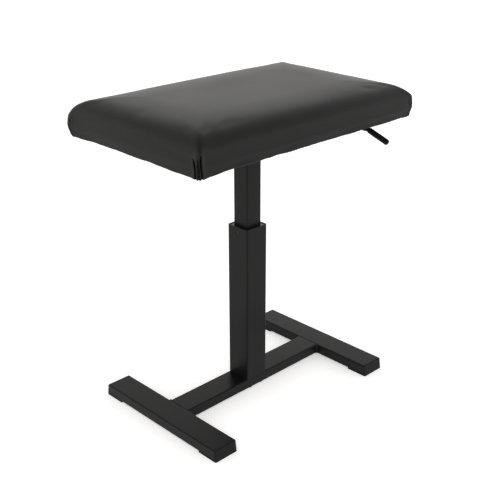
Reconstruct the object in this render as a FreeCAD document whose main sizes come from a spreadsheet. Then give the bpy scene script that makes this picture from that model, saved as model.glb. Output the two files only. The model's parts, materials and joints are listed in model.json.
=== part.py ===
import FreeCAD, Part
import math
import os
import re
import Sketcher

# Piano bench on one telescopic column, in millimetres. The origin is on the floor under the
# column's axis. +X runs along the seat and the spine, -Y is the side that the lever's handle
# comes out of, and +Z is up. The seat is drawn at the top of its travel.

SIZES = {
    # Foot and spine tubes, lying flat
    "foot_length": 293.0,
    "foot_width": 50.0,
    "foot_height": 20.0,
    "spine_length": 348.0,
    "spine_width": 50.0,
    "frame_wall": 2.0,
    "frame_corner": 2.5,
    "weld_leg": 5.0,
    "weld_inset": 2.5,
    # End caps, each in one piece with its plug and its sole
    "sole_thick": 2.0,
    "sole_length": 38.0,
    "cap_face": 3.0,
    "cap_flare": 3.0,
    "cap_corner": 2.4,
    "plug_length": 22.0,
    "plug_wall": 1.6,
    "plug_gap": 1.0,
    "plug_fit": 0.1,
    "fin_thick": 1.2,
    "fin_first": 4.0,
    "fin_pitch": 6.0,
    # Outer column and the plate that closes its foot
    "column_width": 50.0,
    "column_wall": 2.0,
    "column_corner": 2.5,
    "column_length": 307.0,
    "foot_plate_thick": 10.0,
    "foot_plate_fit": 0.1,
    "column_bolt_offset": 14.0,
    "column_bolt_width": 8.0,
    "column_bolt_head": 13.0,
    "column_bolt_key": 6.0,
    "key_depth": 4.0,
    "column_washer_width": 16.0,
    "column_washer_thick": 1.6,
    "bolt_fit": 0.3,
    "thread_fit": 0.05,
    "access_width": 17.0,
    "access_plug_rim": 1.2,
    "access_plug_cap": 1.0,
    "access_plug_depth": 5.0,
    # Plastic collar between the tubes, with a peg in each side wall of the column
    "bush_length": 40.0,
    "bush_recess": 1.0,
    "bush_fit": 0.1,
    "peg_width": 4.0,
    "peg_drop": 11.0,
    "peg_recess": 0.6,
    "slide_fit": 0.25,
    # Inner column and the slider on its lower end
    "stem_width": 35.0,
    "stem_wall": 1.5,
    "stem_corner": 2.5,
    "stem_length": 305.3,
    "stem_overlap": 124.0,
    "slider_length": 32.0,
    "slider_lip": 2.0,
    "slider_fit": 0.1,
    "window_side": 3.0,
    "window_room": 2.7,
    # Gas spring: the cylinder hangs in the inner column and the rod stands on the foot plate
    "cylinder_gap": 2.0,
    "cylinder_wall": 1.5,
    "cylinder_length": 198.0,
    "cylinder_cap": 14.0,
    "cone_length": 18.0,
    "cone_taper": 1.5,
    "socket_fit": 0.05,
    "gland_length": 14.0,
    "piston_length": 12.0,
    "piston_gap": 4.0,
    "piston_fit": 0.1,
    "rod_width": 10.0,
    "rod_fit": 0.05,
    "stub_width": 8.0,
    "stub_past_nut": 2.0,
    "nut_across": 13.0,
    "nut_height": 6.5,
    "release_pin_width": 8.0,
    "release_pin_length": 26.0,
    "release_pin_out": 6.0,
    "release_pin_dome": 2.5,
    "release_pin_fit": 0.1,
    # Steel carrier under the seat
    "carrier_length": 240.0,
    "carrier_depth": 160.0,
    "carrier_thick": 3.0,
    "carrier_flange": 9.0,
    "gusset_reach": 40.0,
    "gusset_drop": 34.0,
    "gusset_thick": 4.0,
    "seat_bolt_end_inset": 20.0,
    "seat_bolt_side_inset": 25.0,
    "seat_bolt_width": 6.0,
    "seat_bolt_across": 10.0,
    "seat_bolt_head": 4.0,
    "seat_bolt_length": 16.0,
    "seat_washer_width": 12.5,
    "seat_washer_thick": 1.2,
    # Lever: a shaft under the carrier, bent into an arm and then down into a handle
    "lever_width": 8.0,
    "lever_offset": 36.0,
    "lever_tail": 30.0,
    "lever_reach": 165.0,
    "lever_bend": 15.0,
    "handle_inset": 25.5,
    "handle_bend": 15.0,
    "handle_tilt": 19.3,
    "handle_length": 47.5,
    "sleeve_wall": 1.2,
    "sleeve_length": 44.0,
    "sleeve_end": 3.0,
    "sleeve_round": 4.0,
    "ear_thick": 3.0,
    "ear_gap": 19.0,
    "ear_depth": 20.0,
    "ear_below": 8.0,
    "outer_ear_inset": 12.0,
    "ear_fit": 0.1,
    "hub_wall": 3.0,
    "hub_length": 10.0,
    "hub_gap": 1.0,
    "finger_width": 8.0,
    "finger_thick": 5.0,
    "finger_past_pin": 5.0,
    "finger_gap": 0.3,
    "finger_drop": 4.0,
    "clip_wall": 3.0,
    "clip_thick": 1.2,
    "clip_gap": 0.5,
    # Seat, from its dust cover up
    "dust_thick": 0.6,
    "dust_margin": 12.0,
    "vinyl_thick": 1.2,
    "vinyl_turn": 26.0,
    "seat_length": 505.0,
    "seat_depth": 321.0,
    "seat_height": 52.3,
    "seat_flare_height": 22.0,
    "seat_flare_angle": 12.8,
    "seat_corner": 22.0,
    "seat_top_round": 20.0,
    "padding_fit": 0.1,
    "board_thick": 15.0,
    "board_margin": 3.0,
    "tee_nut_width": 18.0,
    "tee_nut_flange": 1.4,
    "tee_nut_barrel": 8.0,
    "tee_nut_length": 12.0,
    "tee_nut_fit": 0.1,
}

# Levels and half sizes that several pieces share, as expressions on the sheet
FOOT_TOP = "(sole_thick + foot_height)"
FOOT_MIDDLE = "(sole_thick + foot_height / 2)"
FOOT_CENTRE = "(spine_length / 2 + foot_width / 2)"
COLUMN_TOP = f"({FOOT_TOP} + column_length)"
COLUMN_BORE = "(column_width - 2 * column_wall)"
PLATE_TOP = f"({FOOT_TOP} + foot_plate_thick)"
STEM_BOTTOM = f"({COLUMN_TOP} - stem_overlap)"
STEM_TOP = f"({STEM_BOTTOM} + stem_length)"
STEM_BORE = "(stem_width - 2 * stem_wall)"
HUB_WIDTH = "(lever_width + 2 * hub_wall)"
LEVER_LEVEL = f"({STEM_TOP} - ear_thick - hub_gap - {HUB_WIDTH} / 2)"
LEVER_ARM = "(seat_depth / 2 - handle_inset - lever_offset)"
PIN_TOP = f"({LEVER_LEVEL} - finger_drop)"
CYLINDER_TOP = f"({PIN_TOP} - release_pin_out)"
CYLINDER_BOTTOM = f"({CYLINDER_TOP} - cylinder_length)"
CYLINDER_WIDTH = f"({STEM_BORE} - 2 * cylinder_gap)"
CYLINDER_BORE = f"({CYLINDER_WIDTH} - 2 * cylinder_wall)"
CONE_TOP_WIDTH = f"({CYLINDER_WIDTH} - cone_taper)"
PISTON_BOTTOM = f"({CYLINDER_BOTTOM} + gland_length + piston_gap)"
CARRIER_TOP = f"({STEM_TOP} + carrier_thick)"
BOARD_BOTTOM = f"({CARRIER_TOP} + dust_thick)"
BOARD_TOP = f"({BOARD_BOTTOM} + board_thick)"
SEAT_BOTTOM = f"({BOARD_BOTTOM} - vinyl_thick)"
OPENING_LENGTH = "(seat_length - 2 * vinyl_turn)"
OPENING_DEPTH = "(seat_depth - 2 * vinyl_turn)"

SIDES = (-1, 1)
PARTS_FOLDER = "parts"
NAME_LIMIT = 60

document = FreeCAD.newDocument("PianoBench")
parts = []


def make_sheet():
    """Put every driving size in a cell of its own, with its name as the alias."""
    sheet = document.addObject("Spreadsheet::Sheet", "Sizes")
    for row, (name, size) in enumerate(SIZES.items(), start=1):
        sheet.set(f"A{row}", name)
        sheet.set(f"B{row}", str(size))
        sheet.setAlias(f"B{row}", name)
    document.recompute()


def on_sheet(expression):
    """The expression with each size's name pointed at its cell."""
    return re.sub(r"[a-z_]+", lambda word: sheet_name(word.group()), str(expression))


def sheet_name(word):
    """One word of an expression, as the sheet knows it."""
    return f"Sizes.{word}" if word in SIZES else word


def bind(item, **properties):
    """Drive an object's properties from the sheet, two underscores standing for a dot."""
    for name, expression in properties.items():
        item.setExpression(name.replace("__", "."), on_sheet(expression))


def place(item, x="0", y="0", z="0", axis=None, angle=0.0):
    """Turn an object about an axis through its own origin, and move it to x, y, z."""
    if axis:
        turn = FreeCAD.Rotation(FreeCAD.Vector(*axis), angle)
        item.Placement = FreeCAD.Placement(FreeCAD.Vector(), turn)
    bind(item, Placement__Base__x=x, Placement__Base__y=y, Placement__Base__z=z)
    return item


def keep(item, node):
    """Make an object one of the bench's nodes."""
    item.Label = node
    parts.append(item)
    return item


# Sketches and PartDesign features


def new_body(name):
    return document.addObject("PartDesign::Body", name)


def new_sketch(body, plane="XY_Plane", lift="0"):
    """An empty sketch on one of the body's own planes, lifted along the plane's normal."""
    sketch = body.newObject("Sketcher::SketchObject", body.Name + "_sketch")
    planes = [item for item in body.Origin.OriginFeatures if item.Role == plane]
    sketch.AttachmentSupport = [(planes[0], "")]
    sketch.MapMode = "FlatFace"
    bind(sketch, AttachmentOffset__Base__z=lift)
    return sketch


def fix_point(sketch, line, point, across, up):
    """Hold one end of a line, or a circle's centre, at a place given by the sheet."""
    for kind, expression in (("DistanceX", across), ("DistanceY", up)):
        number = sketch.addConstraint(Sketcher.Constraint(kind, -1, 1, line, point, 1.0))
        sketch.setExpression(f"Constraints[{number}]", on_sheet(expression))


def draw_outline(sketch, corners):
    """A closed outline through the corners, each an (across, up) pair of expressions."""
    count = len(corners)
    first = sketch.GeometryCount
    turns = [2 * math.pi * index / count for index in range(count)]
    guesses = [FreeCAD.Vector(math.cos(turn), math.sin(turn), 0) for turn in turns]
    for index in range(count):
        following = guesses[(index + 1) % count]
        sketch.addGeometry(Part.LineSegment(guesses[index], following), False)
    for index in range(count):
        following = first + (index + 1) % count
        joint = Sketcher.Constraint("Coincident", first + index, 2, following, 1)
        sketch.addConstraint(joint)
    for index, (across, up) in enumerate(corners):
        fix_point(sketch, first + index, 1, across, up)
    return sketch


def draw_rectangle(sketch, width, height, x="0", y="0"):
    """A rectangle of the given width and height, centred on x, y."""
    left, right = f"{x} - ({width}) / 2", f"{x} + ({width}) / 2"
    low, high = f"{y} - ({height}) / 2", f"{y} + ({height}) / 2"
    return draw_outline(sketch, [(left, low), (right, low), (right, high), (left, high)])


def draw_circle(sketch, width, x="0", y="0"):
    """A circle of the given diameter, centred on x, y."""
    circle = Part.Circle(FreeCAD.Vector(), FreeCAD.Vector(0, 0, 1), 1.0)
    line = sketch.addGeometry(circle, False)
    number = sketch.addConstraint(Sketcher.Constraint("Diameter", line, 2.0))
    sketch.setExpression(f"Constraints[{number}]", on_sheet(width))
    fix_point(sketch, line, 3, x, y)
    return sketch


def add_feature(body, kind, name, **settings):
    """Add a PartDesign feature to a body and make it the body's tip."""
    feature = body.newObject(f"PartDesign::{kind}", f"{body.Name}_{name}")
    for key, setting in settings.items():
        setattr(feature, key, setting)
    body.Tip = feature
    return feature


def pad(body, sketch, length, reverse=False):
    feature = add_feature(body, "Pad", "pad", Profile=sketch, Reversed=reverse)
    bind(feature, Length=length)
    return feature


def cut(body, sketch, depth=None, reverse=False, both_ways=False):
    """Pocket a sketch, right through unless a depth is given, and check that it cut."""
    document.recompute()
    before = body.Shape.Volume
    feature = add_feature(body, "Pocket", "pocket", Profile=sketch, Reversed=reverse)
    if both_ways:
        feature.SideType = "Symmetric"
    if depth is None:
        feature.Type = "ThroughAll"
    else:
        bind(feature, Length=depth)
    document.recompute()
    if body.Shape.Volume >= before:
        raise RuntimeError(f"{feature.Name} removes nothing")
    return feature


def revolve(body, sketch):
    """Turn a sketch of the XZ plane a whole turn about the Z axis."""
    axes = [item for item in body.Origin.OriginFeatures if item.Role == "Z_Axis"]
    return add_feature(
        body, "Revolution", "revolution", Profile=sketch, ReferenceAxis=(axes[0], [""]), Angle=360.0
    )


def round_edges(body, radius, wanted):
    """Fillet the edges of the body so far for which wanted(edge) is true."""
    document.recompute()
    base = body.Tip
    edges = enumerate(base.Shape.Edges, start=1)
    names = [f"Edge{number}" for number, edge in edges if wanted(edge)]
    feature = add_feature(body, "Fillet", "fillet", Base=(base, names))
    bind(feature, Radius=radius)
    return feature


def outer_corners(body, axis):
    """A test for the straight edges along one axis that lie furthest out from it."""
    document.recompute()

    def reach(edge):
        middle = edge.CenterOfMass
        middle[axis] = 0.0
        return middle.Length

    def is_along(edge):
        if not isinstance(edge.Curve, Part.Line):
            return False
        return abs(abs(edge.Curve.Direction[axis]) - 1.0) < 1e-6

    furthest = max(reach(edge) for edge in body.Shape.Edges if is_along(edge))
    return lambda edge: is_along(edge) and reach(edge) > furthest - 1e-3


def is_upper_rim(edge):
    """True for a level edge above the body's base."""
    return edge.BoundBox.ZMin > 1e-3 and edge.BoundBox.ZLength < 1e-3


# Part primitives and booleans


def box(name, length, width, height, x="0", y="0", z="0"):
    """A box centred on x and y, standing on z."""
    item = document.addObject("Part::Box", name)
    bind(item, Length=length, Width=width, Height=height)
    return place(item, f"{x} - ({length}) / 2", f"{y} - ({width}) / 2", z)


def cylinder(name, width, height, x="0", y="0", z="0", axis=None, angle=0.0):
    """A cylinder of the given diameter, which starts at x, y, z."""
    item = document.addObject("Part::Cylinder", name)
    bind(item, Radius=f"({width}) / 2", Height=height)
    return place(item, x, y, z, axis, angle)


def hexagon(name, across, height, x="0", y="0", z="0"):
    """A six-sided prism of the given width across flats."""
    item = document.addObject("Part::Prism", name)
    item.Polygon = 6
    bind(item, Circumradius=f"({across}) / sqrt(3)", Height=height)
    return place(item, x, y, z)


def along_x(name, width, length, x, y, z):
    """A round bar that runs from x, y, z towards +X."""
    return cylinder(name, width, length, x, y, z, (0, 1, 0), 90.0)


def wedge(name, across, up, thick):
    """A right-angled triangular prism with its square corner at the origin."""
    item = document.addObject("Part::Wedge", name)
    for corner in ("Xmin", "Ymin", "Zmin", "X2min", "X2max", "Z2min"):
        setattr(item, corner, 0.0)
    bind(item, Xmax=across, Ymax=up, Zmax=thick, Z2max=thick)
    return item


def elbow(name, width, radius, sweep):
    """A quarter or less of a torus about its own Z axis, from its X axis on."""
    item = document.addObject("Part::Torus", name)
    bind(item, Radius1=radius, Radius2=f"({width}) / 2", Angle3=sweep)
    return item


def fuse(name, pieces):
    item = document.addObject("Part::MultiFuse", name)
    item.Shapes = pieces
    item.Refine = True
    return item


def subtract(name, base, tool):
    item = document.addObject("Part::Cut", name)
    item.Base = base
    item.Tool = tool
    item.Refine = True
    return item


def group(name, pieces):
    """Separate solids that share a node."""
    item = document.addObject("Part::Compound", name)
    item.Links = pieces
    return item


# Base


def rectangular_tube(node, plane, axis, across, up, length, wall, corner):
    """A tube with rounded outer corners, padded from one of the body's planes."""
    body = new_body(node)
    sketch = new_sketch(body, plane)
    draw_rectangle(sketch, across, up)
    draw_rectangle(sketch, f"{across} - 2 * {wall}", f"{up} - 2 * {wall}")
    pad(body, sketch, length)
    round_edges(body, corner, outer_corners(body, axis))
    return keep(body, node)


def make_feet():
    for side, name in zip(SIDES, ("left", "right")):
        foot = rectangular_tube(
            f"{name}_foot_tube", "XZ_Plane", 1,
            "foot_width", "foot_height", "foot_length", "frame_wall", "frame_corner",
        )
        place(foot, f"{side} * {FOOT_CENTRE}", "foot_length / 2", FOOT_MIDDLE)


def bolt_places(spread_x, spread_y):
    """The four corners of a bolt pattern."""
    return [(f"{i} * ({spread_x}) / 2", f"{j} * ({spread_y}) / 2") for i in SIDES for j in SIDES]


COLUMN_BOLTS = bolt_places("2 * column_bolt_offset", "2 * column_bolt_offset")
SEAT_BOLTS = bolt_places(
    "carrier_length - 2 * seat_bolt_end_inset", "carrier_depth - 2 * seat_bolt_side_inset"
)
ACCESS_HOLES = COLUMN_BOLTS + [("0", "0")]


def make_spine():
    """The spine, with holes for the column's bolts above and larger ones for the key below."""
    spine = rectangular_tube(
        "spine_tube", "YZ_Plane", 0,
        "spine_width", "foot_height", "spine_length", "frame_wall", "frame_corner",
    )
    below = new_sketch(spine)
    above = new_sketch(spine)
    for x, y in ACCESS_HOLES:
        draw_circle(below, "access_width", f"spine_length / 2 + {x}", y)
    for x, y in COLUMN_BOLTS:
        draw_circle(above, "column_bolt_width + 2 * bolt_fit", f"spine_length / 2 + {x}", y)
    draw_circle(above, "column_washer_width + 2 * bolt_fit", "spine_length / 2")
    cut(spine, below)
    cut(spine, above, reverse=True)
    place(spine, "-spine_length / 2", "0", FOOT_MIDDLE)


def make_welds():
    """Fillet welds up the four inside corners between the spine and the feet."""
    angles = {(-1, -1): -90.0, (-1, 1): 0.0, (1, 1): 90.0, (1, -1): 180.0}
    for side, name in zip(SIDES, ("left", "right")):
        beads = []
        for front in SIDES:
            bead = wedge(f"{name}_bead", "weld_leg", "weld_leg", "foot_height - 2 * weld_inset")
            beads.append(place(
                bead, f"{side} * spine_length / 2", f"{front} * spine_width / 2",
                "sole_thick + weld_inset", (0, 0, 1), angles[side, front],
            ))
        keep(group(f"{name}_foot_welds", beads), f"{name}_foot_welds")


def make_end_cap(node, x, y, angle):
    """A cap for a foot's end: flared face, sole under the tube, and a finned plug in it."""
    body = new_body(node)
    profile = new_sketch(body, "YZ_Plane", "-foot_width / 2")
    draw_outline(profile, [
        ("sole_length", "0"),
        ("sole_length", "sole_thick"),
        ("0", "sole_thick"),
        ("0", FOOT_TOP),
        ("-cap_face", FOOT_TOP),
        ("-cap_face - cap_flare", "0"),
    ])
    pad(body, profile, "foot_width")
    document.recompute()
    top = body.Shape.BoundBox.ZMax - 1e-3
    # the flared face and the cap's top are softened, but not at the floor or at the tube
    round_edges(body, "cap_corner", lambda edge: edge.BoundBox.ZMax > top
                and edge.BoundBox.YMin < -1e-3)

    core_width = "foot_width - 2 * frame_wall - 2 * plug_gap"
    core_height = "foot_height - 2 * frame_wall - 2 * plug_gap"
    core = new_sketch(body, "XZ_Plane")
    pad(body, draw_rectangle(core, core_width, core_height, y=FOOT_MIDDLE), "plug_length", True)
    fin = new_sketch(body, "XZ_Plane", "-fin_first")
    draw_rectangle(
        fin, "foot_width - 2 * frame_wall - 2 * plug_fit",
        "foot_height - 2 * frame_wall - 2 * plug_fit", y=FOOT_MIDDLE,
    )
    first_fin = pad(body, fin, "fin_thick", True)
    document.recompute()
    axes = [item for item in body.Origin.OriginFeatures if item.Role == "Y_Axis"]
    fins = add_feature(
        body, "LinearPattern", "fins", Originals=[first_fin], Direction=(axes[0], [""]), Occurrences=3
    )
    bind(fins, Length="2 * fin_pitch")
    hollow = new_sketch(body, "XZ_Plane", "-plug_length")
    draw_rectangle(
        hollow, f"{core_width} - 2 * plug_wall", f"{core_height} - 2 * plug_wall", y=FOOT_MIDDLE
    )
    cut(body, hollow, "plug_length - plug_wall", reverse=True)
    place(body, x, y, "0", (0, 0, 1), angle)
    return keep(body, node)


def make_end_caps():
    for side, name in zip(SIDES, ("left", "right")):
        foot = f"{side} * {FOOT_CENTRE}"
        make_end_cap(f"{name}_front_cap", foot, "-foot_length / 2", 0.0)
        make_end_cap(f"{name}_rear_cap", foot, "foot_length / 2", 180.0)


def make_column():
    """The outer column, with a hole in each side wall for the collar's pegs."""
    column = rectangular_tube(
        "outer_column_tube", "XY_Plane", 2,
        "column_width", "column_width", "column_length", "column_wall", "column_corner",
    )
    pegs = new_sketch(column, "YZ_Plane")
    draw_circle(pegs, "peg_width + 2 * bush_fit", "0", "column_length - peg_drop")
    cut(column, pegs, both_ways=True)
    place(column, z=FOOT_TOP)


def make_foot_plate():
    """The thick plate in the column's foot: four bolt holes round the gas spring's seat."""
    body = new_body("column_foot_plate")
    side = f"{COLUMN_BORE} - 2 * foot_plate_fit"
    pad(body, draw_rectangle(new_sketch(body), side, side), "foot_plate_thick")
    holes = new_sketch(body)
    for x, y in COLUMN_BOLTS:
        draw_circle(holes, "column_bolt_width + 2 * thread_fit", x, y)
    draw_circle(holes, "stub_width + 2 * thread_fit")
    cut(body, holes, reverse=True)
    place(body, z=FOOT_TOP)
    keep(body, "column_foot_plate")


def make_washers(node, places, width, hole, thick, level):
    """Flat washers, one at each place."""
    washers = []
    for x, y in places:
        disc = cylinder(f"{node}_disc", width, thick, x, y, level)
        bore = cylinder(f"{node}_bore", hole, thick, x, y, level)
        washers.append(subtract(f"{node}_washer", disc, bore))
    return washers


def make_column_bolts():
    """Socket screws from inside the spine up into the foot plate, with their washers."""
    head_top = f"({FOOT_TOP} - frame_wall - column_washer_thick)"
    # a socket screw's head is as high as its thread is wide
    head_bottom = f"({head_top} - column_bolt_width)"
    screws = []
    for x, y in COLUMN_BOLTS:
        head = cylinder(
            "screw_head", "column_bolt_head", "column_bolt_width", x, y, head_bottom
        )
        shank = cylinder(
            "screw_shank", "column_bolt_width", f"{PLATE_TOP} - {head_top}", x, y, head_top
        )
        key = hexagon("screw_key", "column_bolt_key", "key_depth", x, y, head_bottom)
        screws.append(subtract("socket_screw", fuse("screw_blank", [head, shank]), key))
    keep(group("column_bolts", screws), "column_bolts")
    washers = make_washers(
        "column_washers", COLUMN_BOLTS, "column_washer_width",
        "column_bolt_width + 2 * bolt_fit", "column_washer_thick", head_top,
    )
    keep(group("column_bolt_washers", washers), "column_bolt_washers")


def make_access_plugs():
    """Flat plastic plugs that close the key holes under the spine."""
    plugs = []
    for x, y in ACCESS_HOLES:
        rim = cylinder(
            "plug_cap", "access_width + 2 * access_plug_rim", "access_plug_cap",
            x, y, "sole_thick - access_plug_cap",
        )
        stem = cylinder(
            "plug_stem", "access_width - 2 * plug_fit", "access_plug_depth", x, y, "sole_thick"
        )
        plugs.append(fuse("access_plug", [rim, stem]))
    keep(group("access_hole_plugs", plugs), "access_hole_plugs")


def make_upper_bush():
    """The plastic collar in the column's mouth, and its two pegs in the side walls."""
    body = new_body("upper_bush_ring")
    outer = f"({COLUMN_BORE} - 2 * bush_fit)"
    inner = "stem_width + 2 * slide_fit"
    sketch = new_sketch(body)
    draw_rectangle(sketch, outer, outer)
    draw_rectangle(sketch, inner, inner)
    pad(body, sketch, "bush_length")
    place(body, z=f"{COLUMN_TOP} - bush_recess - bush_length")
    level = f"{COLUMN_TOP} - peg_drop"
    reach = "column_wall + bush_fit - peg_recess"
    left = along_x("left_peg", "peg_width", reach, f"-{outer} / 2 - ({reach})", "0", level)
    right = along_x("right_peg", "peg_width", reach, f"{outer} / 2", "0", level)
    keep(fuse("upper_guide_bush", [body, left, right]), "upper_guide_bush")


# Gas spring


def turned(node, corners, level):
    """A piece turned about the column's axis from (radius, height) corners."""
    body = new_body(node)
    revolve(body, draw_outline(new_sketch(body, "XZ_Plane"), corners))
    place(body, z=level)
    return keep(body, node)


def turned_ring(node, outer, inner, length, level):
    """A plain turned ring, given by its two diameters."""
    return turned(node, [
        (f"({inner}) / 2", "0"),
        (f"({outer}) / 2", "0"),
        (f"({outer}) / 2", length),
        (f"({inner}) / 2", length),
    ], level)


def make_gas_spring():
    """Rod and piston on the base, cylinder and gland in the seat's column."""
    stub_bottom = f"({FOOT_TOP} - column_washer_thick - nut_height - stub_past_nut)"
    shoulder = f"{PLATE_TOP} - {stub_bottom}"
    rod_top = f"{PISTON_BOTTOM} + piston_length - {stub_bottom}"
    turned("gas_spring_rod", [
        ("0", "0"),
        ("stub_width / 2", "0"),
        ("stub_width / 2", shoulder),
        ("rod_width / 2", shoulder),
        ("rod_width / 2", rod_top),
        ("0", rod_top),
    ], stub_bottom)
    turned_ring(
        "gas_spring_piston", f"{CYLINDER_BORE} - 2 * piston_fit", "rod_width", "piston_length",
        PISTON_BOTTOM,
    )
    turned_ring(
        "gas_spring_gland", CYLINDER_BORE, "rod_width + 2 * rod_fit", "gland_length",
        CYLINDER_BOTTOM,
    )
    turned("gas_spring_cylinder", [
        (f"{CYLINDER_BORE} / 2", "0"),
        (f"{CYLINDER_WIDTH} / 2", "0"),
        (f"{CYLINDER_WIDTH} / 2", "cylinder_length - cone_length"),
        (f"{CONE_TOP_WIDTH} / 2", "cylinder_length"),
        ("release_pin_width / 2 + release_pin_fit", "cylinder_length"),
        ("release_pin_width / 2 + release_pin_fit", "cylinder_length - cylinder_cap"),
        (f"{CYLINDER_BORE} / 2", "cylinder_length - cylinder_cap"),
    ], CYLINDER_BOTTOM)
    make_rod_nut()
    make_gas_spring_socket()
    make_release_pin()


def make_rod_nut():
    """The nut and washer that hold the rod's stub under the foot plate."""
    washer_bottom = f"({FOOT_TOP} - column_washer_thick)"
    washer = make_washers(
        "rod_washer", [("0", "0")], "column_washer_width", "stub_width + 2 * bolt_fit",
        "column_washer_thick", washer_bottom,
    )[0]
    keep(washer, "rod_washer")
    nut_bottom = f"{washer_bottom} - nut_height"
    blank = hexagon("rod_nut_blank", "nut_across", "nut_height", z=nut_bottom)
    bore = cylinder("rod_nut_bore", "stub_width + 2 * thread_fit", "nut_height", z=nut_bottom)
    keep(subtract("rod_nut", blank, bore), "rod_nut")


def make_gas_spring_socket():
    """A square block welded in the inner column, bored to the cylinder's cone."""
    level = f"{CYLINDER_TOP} - cone_length"
    side = f"{STEM_BORE} - 2 * socket_fit"
    block = box("socket_block", side, side, "cone_length", z=level)
    cone = document.addObject("Part::Cone", "socket_cone")
    bind(
        cone, Radius1=f"{CYLINDER_WIDTH} / 2 + socket_fit",
        Radius2=f"{CONE_TOP_WIDTH} / 2 + socket_fit", Height="cone_length",
    )
    keep(subtract("gas_spring_socket", block, place(cone, z=level)), "gas_spring_socket")


def make_release_pin():
    """The domed pin that frees the gas spring when the finger presses it."""
    body = new_body("release_pin")
    pad(body, draw_circle(new_sketch(body), "release_pin_width"), "release_pin_length")
    round_edges(body, "release_pin_dome", is_upper_rim)
    place(body, z=f"{PIN_TOP} - release_pin_length")
    keep(body, "release_pin")


# Inner column and carrier


def make_stem():
    """The inner column, with a window in its front wall for the lever's finger."""
    stem = rectangular_tube(
        "inner_column_tube", "XY_Plane", 2,
        "stem_width", "stem_width", "stem_length", "stem_wall", "stem_corner",
    )
    window = new_sketch(stem, "XZ_Plane")
    bottom = f"({CYLINDER_TOP} - {STEM_BOTTOM})"
    height = "(release_pin_out + finger_gap + finger_thick + window_room)"
    draw_rectangle(window, "finger_width + 2 * window_side", height, y=f"{bottom} + {height} / 2")
    cut(stem, window, reverse=True)
    place(stem, z=STEM_BOTTOM)


def make_slider():
    """The plastic slider on the inner column's lower end, with a lip under the tube."""
    body = new_body("lower_guide_slider")
    outer = f"{COLUMN_BORE} - 2 * slide_fit"
    inner = "stem_width + 2 * slider_fit"
    sleeve = new_sketch(body)
    draw_rectangle(sleeve, outer, outer)
    draw_rectangle(sleeve, inner, inner)
    pad(body, sleeve, "slider_length")
    lip = new_sketch(body)
    draw_rectangle(lip, outer, outer)
    draw_rectangle(lip, STEM_BORE, STEM_BORE)
    pad(body, lip, "slider_lip", True)
    place(body, z=STEM_BOTTOM)
    keep(body, "lower_guide_slider")


def make_carrier():
    """The seat's carrier plate, with its long edges turned down, and three gussets."""
    body = new_body("seat_carrier_plate")
    pad(body, draw_rectangle(new_sketch(body), "carrier_length", "carrier_depth"), "carrier_thick")
    for side in SIDES:
        edge = new_sketch(body)
        middle = f"{side} * (carrier_depth - carrier_thick) / 2"
        draw_rectangle(edge, "carrier_length", "carrier_thick", y=middle)
        pad(body, edge, "carrier_flange", True)
    holes = new_sketch(body)
    for x, y in SEAT_BOLTS:
        draw_circle(holes, "seat_bolt_width + 2 * bolt_fit", x, y)
    cut(body, holes, reverse=True)
    place(body, z=STEM_TOP)
    keep(body, "seat_carrier_plate")


def make_gussets():
    """Triangular ribs between the inner column and the carrier: right, rear and left."""
    ribs = []
    places = {
        0.0: ("stem_width / 2", "-gusset_thick / 2"),
        90.0: ("gusset_thick / 2", "stem_width / 2"),
        180.0: ("-stem_width / 2", "gusset_thick / 2"),
    }
    # the wedge is laid on its side first, so that it hangs down from the carrier
    flat = FreeCAD.Rotation(FreeCAD.Vector(1, 0, 0), -90.0)
    for angle, (x, y) in places.items():
        rib = wedge("gusset", "gusset_reach", "gusset_drop", "gusset_thick")
        turn = FreeCAD.Rotation(FreeCAD.Vector(0, 0, 1), angle)
        rib.Placement = FreeCAD.Placement(FreeCAD.Vector(), turn.multiply(flat))
        ribs.append(place(rib, x, y, STEM_TOP))
    keep(group("carrier_gussets", ribs), "carrier_gussets")


def make_seat_bolts():
    """Hexagon screws, washers and tee nuts that hold the board on the carrier."""
    washer_bottom = f"({STEM_TOP} - seat_washer_thick)"
    screws = []
    nuts = []
    for x, y in SEAT_BOLTS:
        head = hexagon(
            "seat_screw_head", "seat_bolt_across", "seat_bolt_head", x, y,
            f"{washer_bottom} - seat_bolt_head",
        )
        shank = cylinder(
            "seat_screw_shank", "seat_bolt_width", "seat_bolt_length", x, y, washer_bottom
        )
        screws.append(fuse("seat_screw", [head, shank]))
        flange = cylinder(
            "tee_flange", "tee_nut_width", "tee_nut_flange", x, y, f"{BOARD_TOP} - tee_nut_flange"
        )
        barrel = cylinder(
            "tee_barrel", "tee_nut_barrel", "tee_nut_length", x, y,
            f"{BOARD_TOP} - tee_nut_length",
        )
        thread = cylinder(
            "tee_thread", "seat_bolt_width + 2 * thread_fit", "tee_nut_length", x, y,
            f"{BOARD_TOP} - tee_nut_length",
        )
        nuts.append(subtract("tee_nut", fuse("tee_blank", [flange, barrel]), thread))
    keep(group("seat_bolts", screws), "seat_bolts")
    keep(group("seat_tee_nuts", nuts), "seat_tee_nuts")
    washers = make_washers(
        "seat_washers", SEAT_BOLTS, "seat_washer_width", "seat_bolt_width + 2 * bolt_fit",
        "seat_washer_thick", washer_bottom,
    )
    keep(group("seat_bolt_washers", washers), "seat_bolt_washers")


# Lever


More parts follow.
